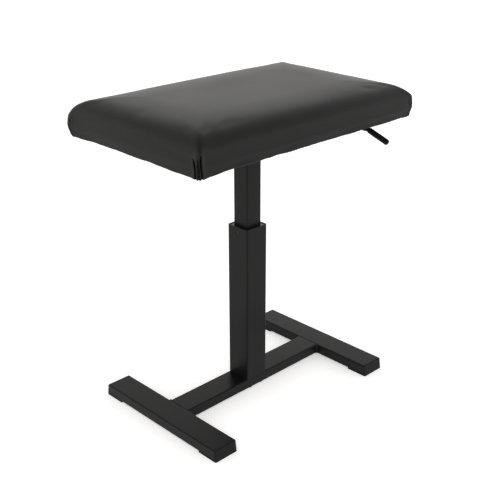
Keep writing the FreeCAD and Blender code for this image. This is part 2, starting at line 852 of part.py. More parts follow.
def make_bracket(node, ears, web_centre, web_length):
    """Ears that carry the lever's shaft, on a web under the carrier."""
    ear_bottom = f"({LEVER_LEVEL} - ear_below)"
    pieces = [box(
        f"{node}_web", web_length, "ear_depth", "ear_thick", web_centre, "-lever_offset",
        f"{STEM_TOP} - ear_thick",
    )]
    for number, centre in enumerate(ears):
        pieces.append(box(
            f"{node}_ear_{number}", "ear_thick", "ear_depth", f"{STEM_TOP} - {ear_bottom}", centre,
            "-lever_offset", ear_bottom,
        ))
    bore = along_x(
        f"{node}_bore", "lever_width + 2 * ear_fit", f"{web_length} + 2 * ear_thick",
        f"{web_centre} - ({web_length}) / 2 - ear_thick", "-lever_offset", LEVER_LEVEL,
    )
    keep(subtract(node, fuse(f"{node}_blank", pieces), bore), node)


def make_lever_brackets():
    ear_centre = "(ear_gap + ear_thick / 2)"
    make_bracket(
        "lever_bracket", [f"-{ear_centre}", ear_centre], "0", "2 * (ear_gap + ear_thick)"
    )
    outer_ear = "(carrier_length / 2 - outer_ear_inset)"
    make_bracket(
        "lever_outer_bracket", [outer_ear], f"({outer_ear} - ear_depth / 2 + ear_thick / 2)",
        "ear_depth",
    )


def lay_along_handle(item, start):
    """Turn a bar's Z axis down the handle and start it that far from the handle's bend."""
    place(
        item, "lever_reach",
        f"-lever_offset - {LEVER_ARM} - {start} * cos(handle_tilt * 1deg)",
        f"{LEVER_LEVEL} - {start} * sin(handle_tilt * 1deg)",
        (1, 0, 0), 90.0,
    )
    bind(item, Placement__Rotation__Angle="90 + handle_tilt")


def make_lever_rod():
    """Round rod: shaft along X, a bend into the arm along -Y, then a bend down to the handle."""
    front = "-lever_offset"
    shaft = along_x(
        "lever_shaft", "lever_width", "lever_tail + lever_reach - lever_bend", "-lever_tail", front,
        LEVER_LEVEL,
    )
    corner = elbow("lever_elbow", "lever_width", "lever_bend", 90.0)
    place(corner, "lever_reach - lever_bend", f"{front} - lever_bend", LEVER_LEVEL)
    tangent = "handle_bend * tan(handle_tilt * 0.5deg)"
    arm = cylinder(
        "lever_arm_bar", "lever_width", f"{LEVER_ARM} - lever_bend - {tangent}", "lever_reach",
        f"{front} - lever_bend", LEVER_LEVEL, (1, 0, 0), 90.0,
    )
    bend = elbow("handle_elbow", "lever_width", "handle_bend", "handle_tilt")
    # stood on edge, so that it turns from straight up towards the front
    on_edge = FreeCAD.Rotation(
        FreeCAD.Vector(0, 0, 1), FreeCAD.Vector(0, -1, 0), FreeCAD.Vector(1, 0, 0), "ZXY"
    )
    bend.Placement = FreeCAD.Placement(FreeCAD.Vector(), on_edge)
    place(
        bend, "lever_reach", f"{front} - {LEVER_ARM} + {tangent}", f"{LEVER_LEVEL} - handle_bend"
    )
    handle = cylinder(
        "handle_bar", "lever_width", f"handle_length - {tangent} - sleeve_end"
    )
    lay_along_handle(handle, tangent)
    keep(fuse("lever_rod", [shaft, corner, arm, bend, handle]), "lever_rod")


def make_lever_sleeve():
    """The handle's sleeve: closed and rounded at its outer end."""
    body = new_body("lever_sleeve")
    pad(body, draw_circle(new_sketch(body), "lever_width + 2 * sleeve_wall"), "sleeve_length")
    round_edges(body, "sleeve_round", is_upper_rim)
    cut(body, draw_circle(new_sketch(body), "lever_width"), "sleeve_length - sleeve_end", reverse=True)
    lay_along_handle(body, "(handle_length - sleeve_length)")
    keep(body, "lever_sleeve")


def make_lever_finger():
    """A hub on the shaft with a finger that reaches in over the release pin."""
    hub = along_x(
        "finger_hub", HUB_WIDTH, "hub_length", "-hub_length / 2", "-lever_offset", LEVER_LEVEL
    )
    bar = box(
        "finger_bar", "finger_width", "lever_offset + finger_past_pin", "finger_thick", "0",
        "(finger_past_pin - lever_offset) / 2", f"{PIN_TOP} + finger_gap",
    )
    bore = along_x(
        "finger_bore", "lever_width", "hub_length", "-hub_length / 2", "-lever_offset", LEVER_LEVEL
    )
    keep(subtract("lever_finger", fuse("finger_blank", [hub, bar]), bore), "lever_finger")


def make_shaft_clips():
    """Push-on clips that keep the shaft in its ears."""
    clips = []
    outside = "(ear_gap + ear_thick + clip_gap)"
    for name, x in (("left", f"-{outside} - clip_thick"), ("right", outside)):
        spot = ("clip_thick", x, "-lever_offset", LEVER_LEVEL)
        disc = along_x(f"{name}_clip_disc", "lever_width + 2 * clip_wall", *spot)
        bore = along_x(f"{name}_clip_bore", "lever_width", *spot)
        clips.append(subtract(f"{name}_clip", disc, bore))
    keep(group("shaft_clips", clips), "shaft_clips")


# Seat


def make_cushion_form(name, inset, top_round, bottom, height):
    """A padded form: sides that lean out as they rise, then upright, with a rounded top."""
    body = new_body(name)
    base = new_sketch(body)
    draw_rectangle(base, f"seat_length - 2 * {inset}", f"seat_depth - 2 * {inset}")
    flare = pad(body, base, "seat_flare_height")
    bind(flare, TaperAngle="seat_flare_angle")
    document.recompute()
    wider = f"{inset} - seat_flare_height * tan(seat_flare_angle * 1deg)"
    upper = new_sketch(body, lift="seat_flare_height")
    draw_rectangle(upper, f"seat_length - 2 * ({wider})", f"seat_depth - 2 * ({wider})")
    pad(body, upper, f"{height} - seat_flare_height")
    round_edges(body, f"seat_corner - {inset}", lambda edge: edge.BoundBox.ZLength > 1.0)
    document.recompute()
    top = body.Shape.BoundBox.ZMax - 1e-3
    round_edges(body, top_round, lambda edge: edge.BoundBox.ZMin > top)
    return place(body, z=bottom)


def make_cover():
    """The vinyl cover: over the padding, down the sides and turned in under the board."""
    outside = make_cushion_form("cover_outside", "0", "seat_top_round", SEAT_BOTTOM, "seat_height")
    inside = make_cushion_form(
        "cover_inside", "vinyl_thick", "seat_top_round - vinyl_thick",
        BOARD_BOTTOM, "(seat_height - 2 * vinyl_thick)",
    )
    opening = box(
        "cover_opening", OPENING_LENGTH, OPENING_DEPTH, "2 * vinyl_thick",
        z=f"{SEAT_BOTTOM} - vinyl_thick / 2",
    )
    hollow = fuse("cover_hollow", [inside, opening])
    keep(subtract("seat_cover", outside, hollow), "seat_cover")


def make_foam():
    """The foam block, which also wraps the board's edges thinly."""
    inset = "(vinyl_thick + padding_fit)"
    form = make_cushion_form(
        "foam_form", inset, f"seat_top_round - {inset}", BOARD_BOTTOM,
        "(seat_height - 2 * vinyl_thick - padding_fit)",
    )
    board_space = box(
        "board_space", "seat_length - 2 * board_margin", "seat_depth - 2 * board_margin",
        "board_thick", z=BOARD_BOTTOM,
    )
    keep(subtract("foam_pad", form, board_space), "foam_pad")


def make_board():
    """The plywood board, with stepped holes for the tee nuts."""
    body = new_body("seat_board")
    outline = new_sketch(body)
    draw_rectangle(outline, "seat_length - 2 * board_margin", "seat_depth - 2 * board_margin")
    pad(body, outline, "board_thick")
    round_edges(body, "seat_corner - board_margin", outer_corners(body, 2))
    barrels = new_sketch(body)
    flanges = new_sketch(body, lift="board_thick")
    for x, y in SEAT_BOLTS:
        draw_circle(barrels, "tee_nut_barrel + 2 * tee_nut_fit", x, y)
        draw_circle(flanges, "tee_nut_width + 2 * tee_nut_fit", x, y)
    cut(body, barrels, reverse=True)
    cut(body, flanges, "tee_nut_flange")
    place(body, z=BOARD_BOTTOM)
    keep(body, "seat_board")


def make_dust_cover():
    """The cloth under the seat: over the cover's turned edge, and up against the board."""
    step_bottom = f"({SEAT_BOTTOM} - dust_thick)"
    gap_length = f"({OPENING_LENGTH} - 2 * padding_fit)"
    gap_depth = f"({OPENING_DEPTH} - 2 * padding_fit)"
    sheet_length = "seat_length - 2 * dust_margin"
    sheet_depth = "seat_depth - 2 * dust_margin"
    flange = box("dust_flange", sheet_length, sheet_depth, "dust_thick", z=step_bottom)
    panel = box(
        "dust_panel", gap_length, gap_depth, "vinyl_thick + dust_thick", z=step_bottom
    )
    hollow = box(
        "dust_hollow", f"{gap_length} - 2 * dust_thick", f"{gap_depth} - 2 * dust_thick",
        "vinyl_thick", z=step_bottom,
    )
    cloth = subtract("dust_cloth", fuse("dust_blank", [flange, panel]), hollow)
    bores = [
        cylinder("dust_bore", "seat_bolt_width + 2 * bolt_fit", "2 * board_thick", x, y, STEM_TOP)
        for x, y in SEAT_BOLTS
    ]
    keep(subtract("dust_cover", cloth, fuse("dust_bores", bores)), "dust_cover")


def check_and_export():
    """Stop on any failed object or bad solid, then write one file for each node."""
    document.recompute()
    for item in document.Objects:
        if {"Invalid", "Error"} & set(item.State):
            raise RuntimeError(f"{item.Name} failed: {item.State}")
    os.makedirs(PARTS_FOLDER, exist_ok=True)
    for item in parts:
        if item.Shape.isNull() or not item.Shape.isValid() or not item.Shape.Solids:
            raise RuntimeError(f"{item.Label} has no valid solid")
        if len(item.Label) >= NAME_LIMIT:
            raise RuntimeError(f"{item.Label} is too long a name")
        item.Shape.exportStep(f"{PARTS_FOLDER}/{item.Label}.step")
        print(f"{item.Label}: {len(item.Shape.Solids)} solids, {item.Shape.Volume / 1000:.2f} cm3")


make_sheet()
make_feet()
make_spine()
make_welds()
make_end_caps()
make_column()
make_foot_plate()
make_column_bolts()
make_access_plugs()
make_upper_bush()
make_gas_spring()
make_stem()
make_slider()
make_carrier()
make_gussets()
make_seat_bolts()
make_lever_brackets()
make_lever_rod()
make_lever_sleeve()
make_lever_finger()
make_shaft_clips()
make_cover()
make_foam()
make_board()
make_dust_cover()
check_and_export()
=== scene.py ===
import json
import math

import bpy
import numpy as np
from bpy.props import (
    FloatProperty,
    FloatVectorProperty,
    IntProperty,
    PointerProperty,
)
from bpy.types import Operator, Panel, PropertyGroup
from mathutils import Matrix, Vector, noise
from mathutils.bvhtree import BVHTree
from mathutils.interpolate import poly_3d_calc


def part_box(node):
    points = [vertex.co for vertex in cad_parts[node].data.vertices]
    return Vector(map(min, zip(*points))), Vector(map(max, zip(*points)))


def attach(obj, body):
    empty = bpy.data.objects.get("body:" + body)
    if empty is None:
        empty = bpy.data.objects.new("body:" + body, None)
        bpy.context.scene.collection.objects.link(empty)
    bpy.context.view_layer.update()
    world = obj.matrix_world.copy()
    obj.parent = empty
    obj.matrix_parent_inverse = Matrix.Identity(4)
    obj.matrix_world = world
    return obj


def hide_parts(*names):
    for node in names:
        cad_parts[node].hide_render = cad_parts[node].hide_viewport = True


bl_info = {
    "name": "Piano Bench Looks",
    "version": (1, 0, 0),
    "blender": (4, 5, 0),
    "location": "3D View > Sidebar > Bench",
    "description": "Upholstery, finishes and studio for a height-adjustable piano bench",
    "category": "Object",
}

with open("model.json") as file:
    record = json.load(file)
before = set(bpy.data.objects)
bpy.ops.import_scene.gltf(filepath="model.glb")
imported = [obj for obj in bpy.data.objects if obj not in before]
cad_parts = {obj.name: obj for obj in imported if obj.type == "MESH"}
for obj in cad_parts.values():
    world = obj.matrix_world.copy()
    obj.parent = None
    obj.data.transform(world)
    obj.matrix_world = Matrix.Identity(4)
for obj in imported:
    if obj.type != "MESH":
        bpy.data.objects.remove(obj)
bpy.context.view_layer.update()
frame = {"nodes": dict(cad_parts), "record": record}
COVER_LOW, COVER_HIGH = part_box("seat_cover")
BOARD_LOW, BOARD_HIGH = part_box("seat_board")
DUST_LOW, DUST_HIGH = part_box("dust_cover")
PLATE_LOW, PLATE_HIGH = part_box("seat_carrier_plate")
SPINE_LOW, SPINE_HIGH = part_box("spine_tube")
STEM_LOW, STEM_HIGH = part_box("inner_column_tube")
GUSSET_LOW, GUSSET_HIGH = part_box("carrier_gussets")
SIDES = (-1, 1)
MM = 0.001


# Sizes and colours that a user would change


class CushionSettings(PropertyGroup):
    """The upholstered seat."""

    edge_reach: FloatProperty(
        name="Edge reach", description="How far in the top's rounded edge begins",
        default=0.031, unit="LENGTH")
    edge_drop: FloatProperty(
        name="Edge drop", description="How far the top falls over its rounded edge",
        default=0.0215, unit="LENGTH")
    dome_reach: FloatProperty(
        name="Dome reach", description="How far in from the edge the top is still rising",
        default=0.100, unit="LENGTH")
    dome_drop: FloatProperty(
        name="Dome drop", description="How much lower the top is at its edge than in the middle",
        default=0.0095, unit="LENGTH")
    crown: FloatProperty(
        name="Crown", description="How far the middle of the top stands above the seat's height",
        default=0.0118, unit="LENGTH")
    corner_fullness: FloatProperty(
        name="Corner fullness", description="How square the top is in plan; 2 gives round corners",
        default=3.6, min=2.0, max=12.0)
    hem_fullness: FloatProperty(
        name="Hem fullness", description="How square the lower edge is in plan",
        default=14.0, min=2.0, max=20.0)
    side_taper: FloatProperty(
        name="Side taper", description="How far the sides pull in at the bottom edge",
        default=0.0052, unit="LENGTH")
    taper_height: FloatProperty(
        name="Taper height", description="Height over which the sides pull in",
        default=0.028, unit="LENGTH")
    hem_roll: FloatProperty(
        name="Hem roll", description="Radius of the vinyl round the board's lower edge",
        default=0.0028, unit="LENGTH")
    turn_under: FloatProperty(
        name="Turn-under", description="Width of vinyl stapled under the board",
        default=0.026, unit="LENGTH")
    vinyl_thickness: FloatProperty(
        name="Vinyl thickness", description="Thickness of the cover at its cut edge",
        default=0.0012, unit="LENGTH")
    hem_wave: FloatProperty(
        name="Hem wave", description="How much the lower edge wavers between its staples",
        default=0.0009, unit="LENGTH")
    air_pressure: FloatProperty(
        name="Air pressure", description="Pressure that swells the padding", default=4.0)
    start_inset: FloatProperty(
        name="Start inset", description="How much smaller the padding is before it swells",
        default=0.0012, unit="LENGTH")
    swell_share: FloatProperty(
        name="Swell share", description="How much of the swelling the stretched vinyl allows",
        default=0.28, min=0.0, max=1.0)
    swell_limit: FloatProperty(
        name="Swell limit", description="The furthest that a point may move as the padding swells",
        default=0.006, unit="LENGTH")
    cloth_size: FloatProperty(
        name="Cloth size", description="Size of the squares of the simulated cloth",
        default=0.006, unit="LENGTH")
    pleat_height: FloatProperty(
        name="Pleat height", description="How far up the corner the folds run",
        default=0.031, unit="LENGTH")
    pleat_depth: FloatProperty(
        name="Pleat depth", description="How deep the gaps at the folds are",
        default=0.0058, unit="LENGTH")


class UndersideSettings(PropertyGroup):
    """The cloth and staples under the seat."""

    cloth_thickness: FloatProperty(
        name="Cloth thickness", description="Thickness of the dust cover",
        default=0.0004, unit="LENGTH")
    hem_width: FloatProperty(
        name="Hem width", description="Width of the folded edge of the dust cover",
        default=0.009, unit="LENGTH")
    sag: FloatProperty(
        name="Sag", description="How far the cloth sags where nothing holds it",
        default=0.0007, unit="LENGTH")
    staple_spacing: FloatProperty(
        name="Staple spacing", description="Distance between staples",
        default=0.041, unit="LENGTH")
    staple_crown: FloatProperty(
        name="Staple crown", description="Width of a staple", default=0.0105, unit="LENGTH")
    staple_wire: FloatProperty(
        name="Staple wire", description="Thickness of a staple's wire",
        default=0.0009, unit="LENGTH")
    staple_seed: IntProperty(
        name="Staple seed", description="Seed of the staples' uneven angles", default=7)


class FrameSettings(PropertyGroup):
    """Welds of the steel frame."""

    bead_width: FloatProperty(
        name="Bead width", description="Width of the foot's weld beads",
        default=0.0066, unit="LENGTH")
    small_bead_width: FloatProperty(
        name="Small bead width", description="Width of the carrier's weld beads",
        default=0.0050, unit="LENGTH")
    ripple_pitch: FloatProperty(
        name="Ripple pitch", description="Distance between the ripples of a bead",
        default=0.0019, unit="LENGTH")


class StudioSettings(PropertyGroup):
    """Camera, floor and light."""

    camera_place: FloatVectorProperty(
        name="Camera place", description="Where the camera stands",
        default=(-1.0590, -1.0833, 0.9253), subtype="TRANSLATION", unit="LENGTH")
    camera_aim: FloatVectorProperty(
        name="Camera aim", description="Direction in which the camera looks",
        default=(0.64474, 0.65542, -0.39336), subtype="DIRECTION")
    lens: FloatProperty(
        name="Lens", description="Focal length in millimetres on a 36 mm sensor",
        default=64.65)
    floor_colour: FloatVectorProperty(
        name="Floor colour", description="Colour of the floor", default=(0.93, 0.93, 0.93),
        subtype="COLOR", min=0.0, max=1.0)
    floor_size: FloatProperty(
        name="Floor size", description="Length of the floor's side", default=40.0, unit="LENGTH")
    horizon_light: FloatProperty(
        name="Horizon light", description="Brightness of the surroundings at eye level",
        default=1.68)
    zenith_light: FloatProperty(
        name="Zenith light", description="Brightness of the surroundings overhead",
        default=0.5)
    floor_glow: FloatProperty(
        name="Floor glow", description="Light that the lit floor gives off by itself",
        default=0.41)
    overhead_power: FloatProperty(
        name="Overhead power", description="Power of the soft light over the bench, in watts",
        default=5.0)


# Node helpers


def add_node(tree, kind, values=None, **properties):
    """A node of a tree with its properties set, and its inputs fed by sockets or plain values."""
    node = tree.nodes.new(kind)
    for name, value in properties.items():
        setattr(node, name, value)
    for name, value in (values or {}).items():
        if isinstance(value, bpy.types.NodeSocket):
            tree.links.new(value, node.inputs[name])
        else:
            node.inputs[name].default_value = value
    return node


def new_tree(name, kind, inputs, outputs):
    """An empty node group with named sockets, and its two ends."""
    tree = bpy.data.node_groups.new(name, kind)
    for label, socket_kind, default in inputs:
        socket = tree.interface.new_socket(label, in_out="INPUT", socket_type=socket_kind)
        if default is not None:
            socket.default_value = default
    for label, socket_kind in outputs:
        tree.interface.new_socket(label, in_out="OUTPUT", socket_type=socket_kind)
    return tree, tree.nodes.new("NodeGroupInput"), tree.nodes.new("NodeGroupOutput")


def math_node(tree, operation, first, second=None, clamp=False):
    """The result of a maths node on one or two sockets or plain numbers."""
    values = {0: first} if second is None else {0: first, 1: second}
    return add_node(
        tree, "ShaderNodeMath", values, operation=operation, use_clamp=clamp).outputs[0]


def times(tree, first, second):
    """Two sockets or numbers multiplied, as a socket."""
    return math_node(tree, "MULTIPLY", first, second)


def stretch_range(tree, value, low, high, to_low=0.0, to_high=1.0):
    """Value mapped from one range to another, as a socket."""
    node = add_node(tree, "ShaderNodeMapRange", {
        "Value": value, "From Min": low, "From Max": high, "To Min": to_low, "To Max": to_high,
    }, clamp=True)
    return node.outputs["Result"]


def object_place(tree):
    """Object coordinates, as a socket."""
    return add_node(tree, "ShaderNodeTexCoord").outputs["Object"]


# Shared surface effects, as shader node groups


def tone_group():
    """Slow patches of tone and gloss, with a finer detail mixed in."""
    name = "uneven_tone"
    if name in bpy.data.node_groups:
        return bpy.data.node_groups[name]
    tree, start, end = new_tree(name, "ShaderNodeTree", [
        ("Patch Scale", "NodeSocketFloat", 12.0),
        ("Dark", "NodeSocketColor", (0.02, 0.02, 0.02, 1.0)),
        ("Light", "NodeSocketColor", (0.04, 0.04, 0.04, 1.0)),
        ("Smooth", "NodeSocketFloat", 0.3),
        ("Rough", "NodeSocketFloat", 0.5),
        ("Detail", "NodeSocketFloat", 0.5),
        ("Detail Share", "NodeSocketFloat", 0.3),
    ], [("Colour", "NodeSocketColor"), ("Roughness", "NodeSocketFloat")])
    patches = add_node(tree, "ShaderNodeTexNoise", {
        "Vector": object_place(tree), "Scale": start.outputs["Patch Scale"],
        "Detail": 4.0, "Roughness": 0.55})
    blend = add_node(tree, "ShaderNodeMix", {
        "Factor": start.outputs["Detail Share"],
        2: stretch_range(tree, patches.outputs["Fac"], 0.3, 0.7), 3: start.outputs["Detail"],
    }, data_type="FLOAT").outputs[0]
    colour = add_node(tree, "ShaderNodeMix", {
        "Factor": blend, 6: start.outputs["Dark"], 7: start.outputs["Light"]}, data_type="RGBA")
    gloss = stretch_range(
        tree, blend, 0.0, 1.0, start.outputs["Smooth"], start.outputs["Rough"])
    tree.links.new(colour.outputs[2], end.inputs["Colour"])
    tree.links.new(gloss, end.inputs["Roughness"])
    return tree


def texture_group(name, build):
    """A fine surface texture as a group: Scale in, Height and Detail out."""
    if name in bpy.data.node_groups:
        return bpy.data.node_groups[name]
    tree, start, end = new_tree(
        name, "ShaderNodeTree", [("Scale", "NodeSocketFloat", 1000.0)],
        [("Height", "NodeSocketFloat"), ("Detail", "NodeSocketFloat")])
    height, detail = build(tree, object_place(tree), start.outputs["Scale"])
    tree.links.new(height, end.inputs["Height"])
    tree.links.new(detail, end.inputs["Detail"])
    return tree


def scaled_noise(tree, place, scale, factor, stretch=(1.0, 1.0, 1.0), detail=2.0):
    """Noise at a share of the group's scale, squeezed along the axes."""
    mapping = add_node(tree, "ShaderNodeMapping", {"Vector": place, "Scale": stretch})
    return add_node(tree, "ShaderNodeTexNoise", {
        "Vector": mapping.outputs["Vector"], "Scale": times(tree, scale, factor),
        "Detail": detail, "Roughness": 0.5}).outputs["Fac"]


def build_peel(tree, place, scale):
    """The fine lumps of powder that has flowed and set."""
    lumps = scaled_noise(tree, place, scale, 1.0)
    specks = scaled_noise(tree, place, scale, 0.2, detail=1.0)
    height = math_node(tree, "ADD", lumps, times(tree, specks, 0.6))
    return height, stretch_range(tree, lumps, 0.35, 0.65)


def build_leather(tree, place, scale):
    """Small pebbles parted by creases, as pressed into faux leather."""
    bend = scaled_noise(tree, place, scale, 0.35)
    shift = add_node(
        tree, "ShaderNodeVectorMath", {0: place, 1: times(tree, bend, 0.0012)}, operation="ADD")
    pebbles = add_node(tree, "ShaderNodeTexVoronoi", {
        "Vector": shift.outputs[0], "Scale": scale, "Randomness": 0.9},
        feature="DISTANCE_TO_EDGE")
    rounded = stretch_range(tree, pebbles.outputs["Distance"], 0.0, 0.28)
    return math_node(tree, "ADD", rounded, times(tree, bend, 0.8)), rounded


def build_moulded(tree, place, scale):
    """The even sparkle of a spark-eroded mould."""
    grain = scaled_noise(tree, place, scale, 1.0, detail=3.0)
    return grain, grain


def build_drawn(tree, place, scale):
    """Fine lines along the height, as on drawn or ground steel."""
    lines = scaled_noise(tree, place, scale, 1.0, (1.0, 1.0, 0.03))
    return lines, lines


def build_turned(tree, place, scale):
    """Fine rings across the height, as a lathe leaves."""
    rings = scaled_noise(tree, place, scale, 1.0, (0.03, 0.03, 1.0))
    return rings, rings


def build_bonded(tree, place, scale):
    """Thin fibres pressed together by rows of small bond points."""
    fibres = scaled_noise(tree, place, scale, 1.6, (1.0, 0.25, 1.0), 4.0)
    dots = add_node(tree, "ShaderNodeTexVoronoi", {
        "Vector": place, "Scale": scale, "Randomness": 0.12})
    pits = stretch_range(tree, dots.outputs["Distance"], 0.15, 0.38)
    return math_node(tree, "ADD", pits, times(tree, fibres, 0.7)), times(tree, pits, fibres)


def build_plies(tree, place, scale):
    """Wood fibre along the board, over thin layers through its thickness."""
    fibre = scaled_noise(tree, place, scale, 1.0, (0.05, 1.0, 0.6), 6.0)
    layers = add_node(tree, "ShaderNodeTexWave", {
        "Vector": place, "Scale": times(tree, scale, 0.55), "Distortion": 0.6},
        bands_direction="Z")
    return fibre, times(tree, fibre, layers.outputs["Fac"])


def hem_fade_group():
    """Painted shade on the seat vinyl: its coat weight is full on the top and thinned towards the
    hem, so the lower side reflects less and looks shaded.
    """
    tree, _, end = new_tree("hem_fade", "ShaderNodeTree", [], [("Coat", "NodeSocketFloat")])
    parts = add_node(tree, "ShaderNodeSeparateXYZ", {0: object_place(tree)})
    # Coat weight of 0.26 on the top, falling to 0.01 at the hem: painted shade.
    coat = stretch_range(
        tree, parts.outputs["Z"], COVER_LOW.z + 1 * MM, COVER_LOW.z + 22 * MM, 0.01, 0.26)
    tree.links.new(coat, end.inputs["Coat"])
    return tree


# Each finish: the texture under it, its scale per metre and its depth in metres, the tones and
# roughness it varies between, the size of its patches, and the shader's own plain numbers.
FINISHES = {
    "powder_coat": {
        "texture": build_peel, "scale": 1500.0, "depth": 0.00002,
        "dark": (0.0040, 0.0040, 0.0040), "light": (0.0066, 0.0065, 0.0064),
        "smooth": 0.33, "rough": 0.41, "patches": 9.0, "share": 0.35,
        "shader": {"Specular IOR Level": 0.12},
    },
    "weld_bead": {
        "texture": build_peel, "scale": 1300.0, "depth": 0.00003,
        "dark": (0.0045, 0.0045, 0.0047), "light": (0.0090, 0.0089, 0.0089),
        "smooth": 0.38, "rough": 0.48, "patches": 60.0, "share": 0.35,
        "shader": {"Specular IOR Level": 0.12},
    },
    "cap_plastic": {
        "texture": build_moulded, "scale": 2600.0, "depth": 0.00002,
        "dark": (0.0050, 0.0050, 0.0052), "light": (0.0080, 0.0080, 0.0080),
        "smooth": 0.48, "rough": 0.62, "patches": 25.0, "share": 0.4,
        "shader": {"Specular IOR Level": 0.12},
    },
    "guide_plastic": {
        "texture": build_moulded, "scale": 1800.0, "depth": 0.00003,
        "dark": (0.0035, 0.0035, 0.0036), "light": (0.0012, 0.0012, 0.0012),
        "smooth": 0.32, "rough": 0.44, "patches": 30.0, "share": 0.3,
        "shader": {"Specular IOR Level": 0.45},
    },
    "plug_plastic": {
        "texture": build_moulded, "scale": 2200.0, "depth": 0.00004,
        "dark": (0.0070, 0.0070, 0.0070), "light": (0.0110, 0.0110, 0.0108),
        "smooth": 0.5, "rough": 0.66, "patches": 40.0, "share": 0.4,
        "shader": {"Specular IOR Level": 0.35},
    },
    "zinc_plate": {
        "texture": build_turned, "scale": 2400.0, "depth": 0.00003,
        "dark": (0.52, 0.525, 0.52), "light": (0.70, 0.70, 0.68),
        "smooth": 0.24, "rough": 0.42, "patches": 120.0, "share": 0.45,
        "shader": {"Metallic": 1.0},
    },
    "black_oxide": {
        "texture": build_turned, "scale": 2000.0, "depth": 0.00003,
        "dark": (0.038, 0.038, 0.042), "light": (0.066, 0.066, 0.072),
        "smooth": 0.3, "rough": 0.46, "patches": 90.0, "share": 0.4,
        "shader": {"Metallic": 0.7},
    },
    "rod_chrome": {
        "texture": build_drawn, "scale": 3000.0, "depth": 0.00001,
        "dark": (0.74, 0.75, 0.77), "light": (0.84, 0.85, 0.87),
        "smooth": 0.07, "rough": 0.14, "patches": 40.0, "share": 0.3,
        "shader": {"Metallic": 1.0},
    },
    "cylinder_paint": {
        "texture": build_peel, "scale": 600.0, "depth": 0.00003,
        "dark": (0.0150, 0.0150, 0.0160), "light": (0.0200, 0.0200, 0.0210),
        "smooth": 0.14, "rough": 0.24, "patches": 20.0, "share": 0.3,
        "shader": {"Specular IOR Level": 0.5},
    },
    "bare_steel": {
        "texture": build_turned, "scale": 2600.0, "depth": 0.00004,
        "dark": (0.36, 0.36, 0.37), "light": (0.50, 0.50, 0.51),
        "smooth": 0.28, "rough": 0.46, "patches": 60.0, "share": 0.5,
        "shader": {"Metallic": 1.0},
    },
    "grip_plastic": {
        "texture": build_moulded, "scale": 1500.0, "depth": 0.00004,
        "dark": (0.0060, 0.0060, 0.0060), "light": (0.0022, 0.0022, 0.0022),
        "smooth": 0.5, "rough": 0.62, "patches": 50.0, "share": 0.3,
        "shader": {"Specular IOR Level": 0.1},
    },
    "seat_vinyl": {
        "texture": build_leather, "scale": 950.0, "depth": 0.00002,
        "dark": (0.0074, 0.0072, 0.0071), "light": (0.0110, 0.0107, 0.0105),
        "smooth": 0.42, "rough": 0.52, "patches": 5.0, "share": 0.3,
        "shader": {"Specular IOR Level": 0.08, "Coat IOR": 1.28, "Coat Roughness": 0.42},
    },
    "foam": {
        "texture": build_peel, "scale": 1200.0, "depth": 0.0003,
        "dark": (0.66, 0.61, 0.48), "light": (0.76, 0.72, 0.60),
        "smooth": 0.85, "rough": 0.95, "patches": 30.0, "share": 0.4, "shader": {},
    },
    "plywood": {
        "texture": build_plies, "scale": 420.0, "depth": 0.0001,
        "dark": (0.50, 0.36, 0.21), "light": (0.70, 0.55, 0.37),
        "smooth": 0.55, "rough": 0.75, "patches": 8.0, "share": 0.6, "shader": {},
    },
    "dust_cloth": {
        "texture": build_bonded, "scale": 620.0, "depth": 0.00012,
        "dark": (0.0120, 0.0120, 0.0125), "light": (0.0260, 0.0260, 0.0265),
        "smooth": 0.82, "rough": 0.95, "patches": 14.0, "share": 0.55,
        "shader": {"Specular IOR Level": 0.25, "Sheen Weight": 0.08, "Sheen Roughness": 0.6},
    },
    "staple_steel": {
        "texture": build_drawn, "scale": 2500.0, "depth": 0.00002,
        "dark": (0.46, 0.46, 0.47), "light": (0.62, 0.62, 0.62),
        "smooth": 0.25, "rough": 0.4, "patches": 150.0, "share": 0.4,
        "shader": {"Metallic": 1.0},
    },
}


def finish_material(name):
    """The material of one finish: uneven tone and gloss over a fine bumpy texture."""
    label = f"{name}_finish"
    if label in bpy.data.materials:
        return bpy.data.materials[label]
    finish = FINISHES[name]
    material = bpy.data.materials.new(label)
    material.use_nodes = True
    tree = material.node_tree
    shader = tree.nodes["Principled BSDF"]
    for socket, value in finish["shader"].items():
        shader.inputs[socket].default_value = value
    build = finish["texture"]
    texture = add_node(
        tree, "ShaderNodeGroup",
        node_tree=texture_group(build.__name__.replace("build", "texture"), build))
    texture.inputs["Scale"].default_value = finish["scale"]
    tone = add_node(tree, "ShaderNodeGroup", node_tree=tone_group())
    for socket, value in (
        ("Patch Scale", finish["patches"]), ("Dark", (*finish["dark"], 1.0)),
        ("Light", (*finish["light"], 1.0)), ("Smooth", finish["smooth"]),
        ("Rough", finish["rough"]), ("Detail Share", finish["share"]),
    ):
        tone.inputs[socket].default_value = value
    bump = add_node(tree, "ShaderNodeBump", {
        "Distance": finish["depth"], "Height": texture.outputs["Height"]})
    links = [
        (texture.outputs["Detail"], tone.inputs["Detail"]),
        (tone.outputs["Colour"], shader.inputs["Base Color"]),
        (tone.outputs["Roughness"], shader.inputs["Roughness"]),
        (bump.outputs["Normal"], shader.inputs["Normal"]),
    ]
    # Painted shade: the seat vinyl's coat thins towards the hem, darkening the lower side.
    if name == "seat_vinyl":
        coat = add_node(tree, "ShaderNodeGroup", node_tree=hem_fade_group())
        links.append((coat.outputs["Coat"], shader.inputs["Coat Weight"]))
    for source, target in links:
        tree.links.new(source, target)
    return material


# Mesh helpers


def new_piece(name, points, faces, material, edges=()):
    """A mesh object at the origin, smooth all over."""
    mesh = bpy.data.meshes.new(name)
    mesh.from_pydata([tuple(point) for point in points], list(edges), faces)
    mesh.validate()
    mesh.shade_smooth()
    piece = bpy.data.objects.new(name, mesh)
    bpy.context.scene.collection.objects.link(piece)
    if material:
        mesh.materials.append(material)
    return piece


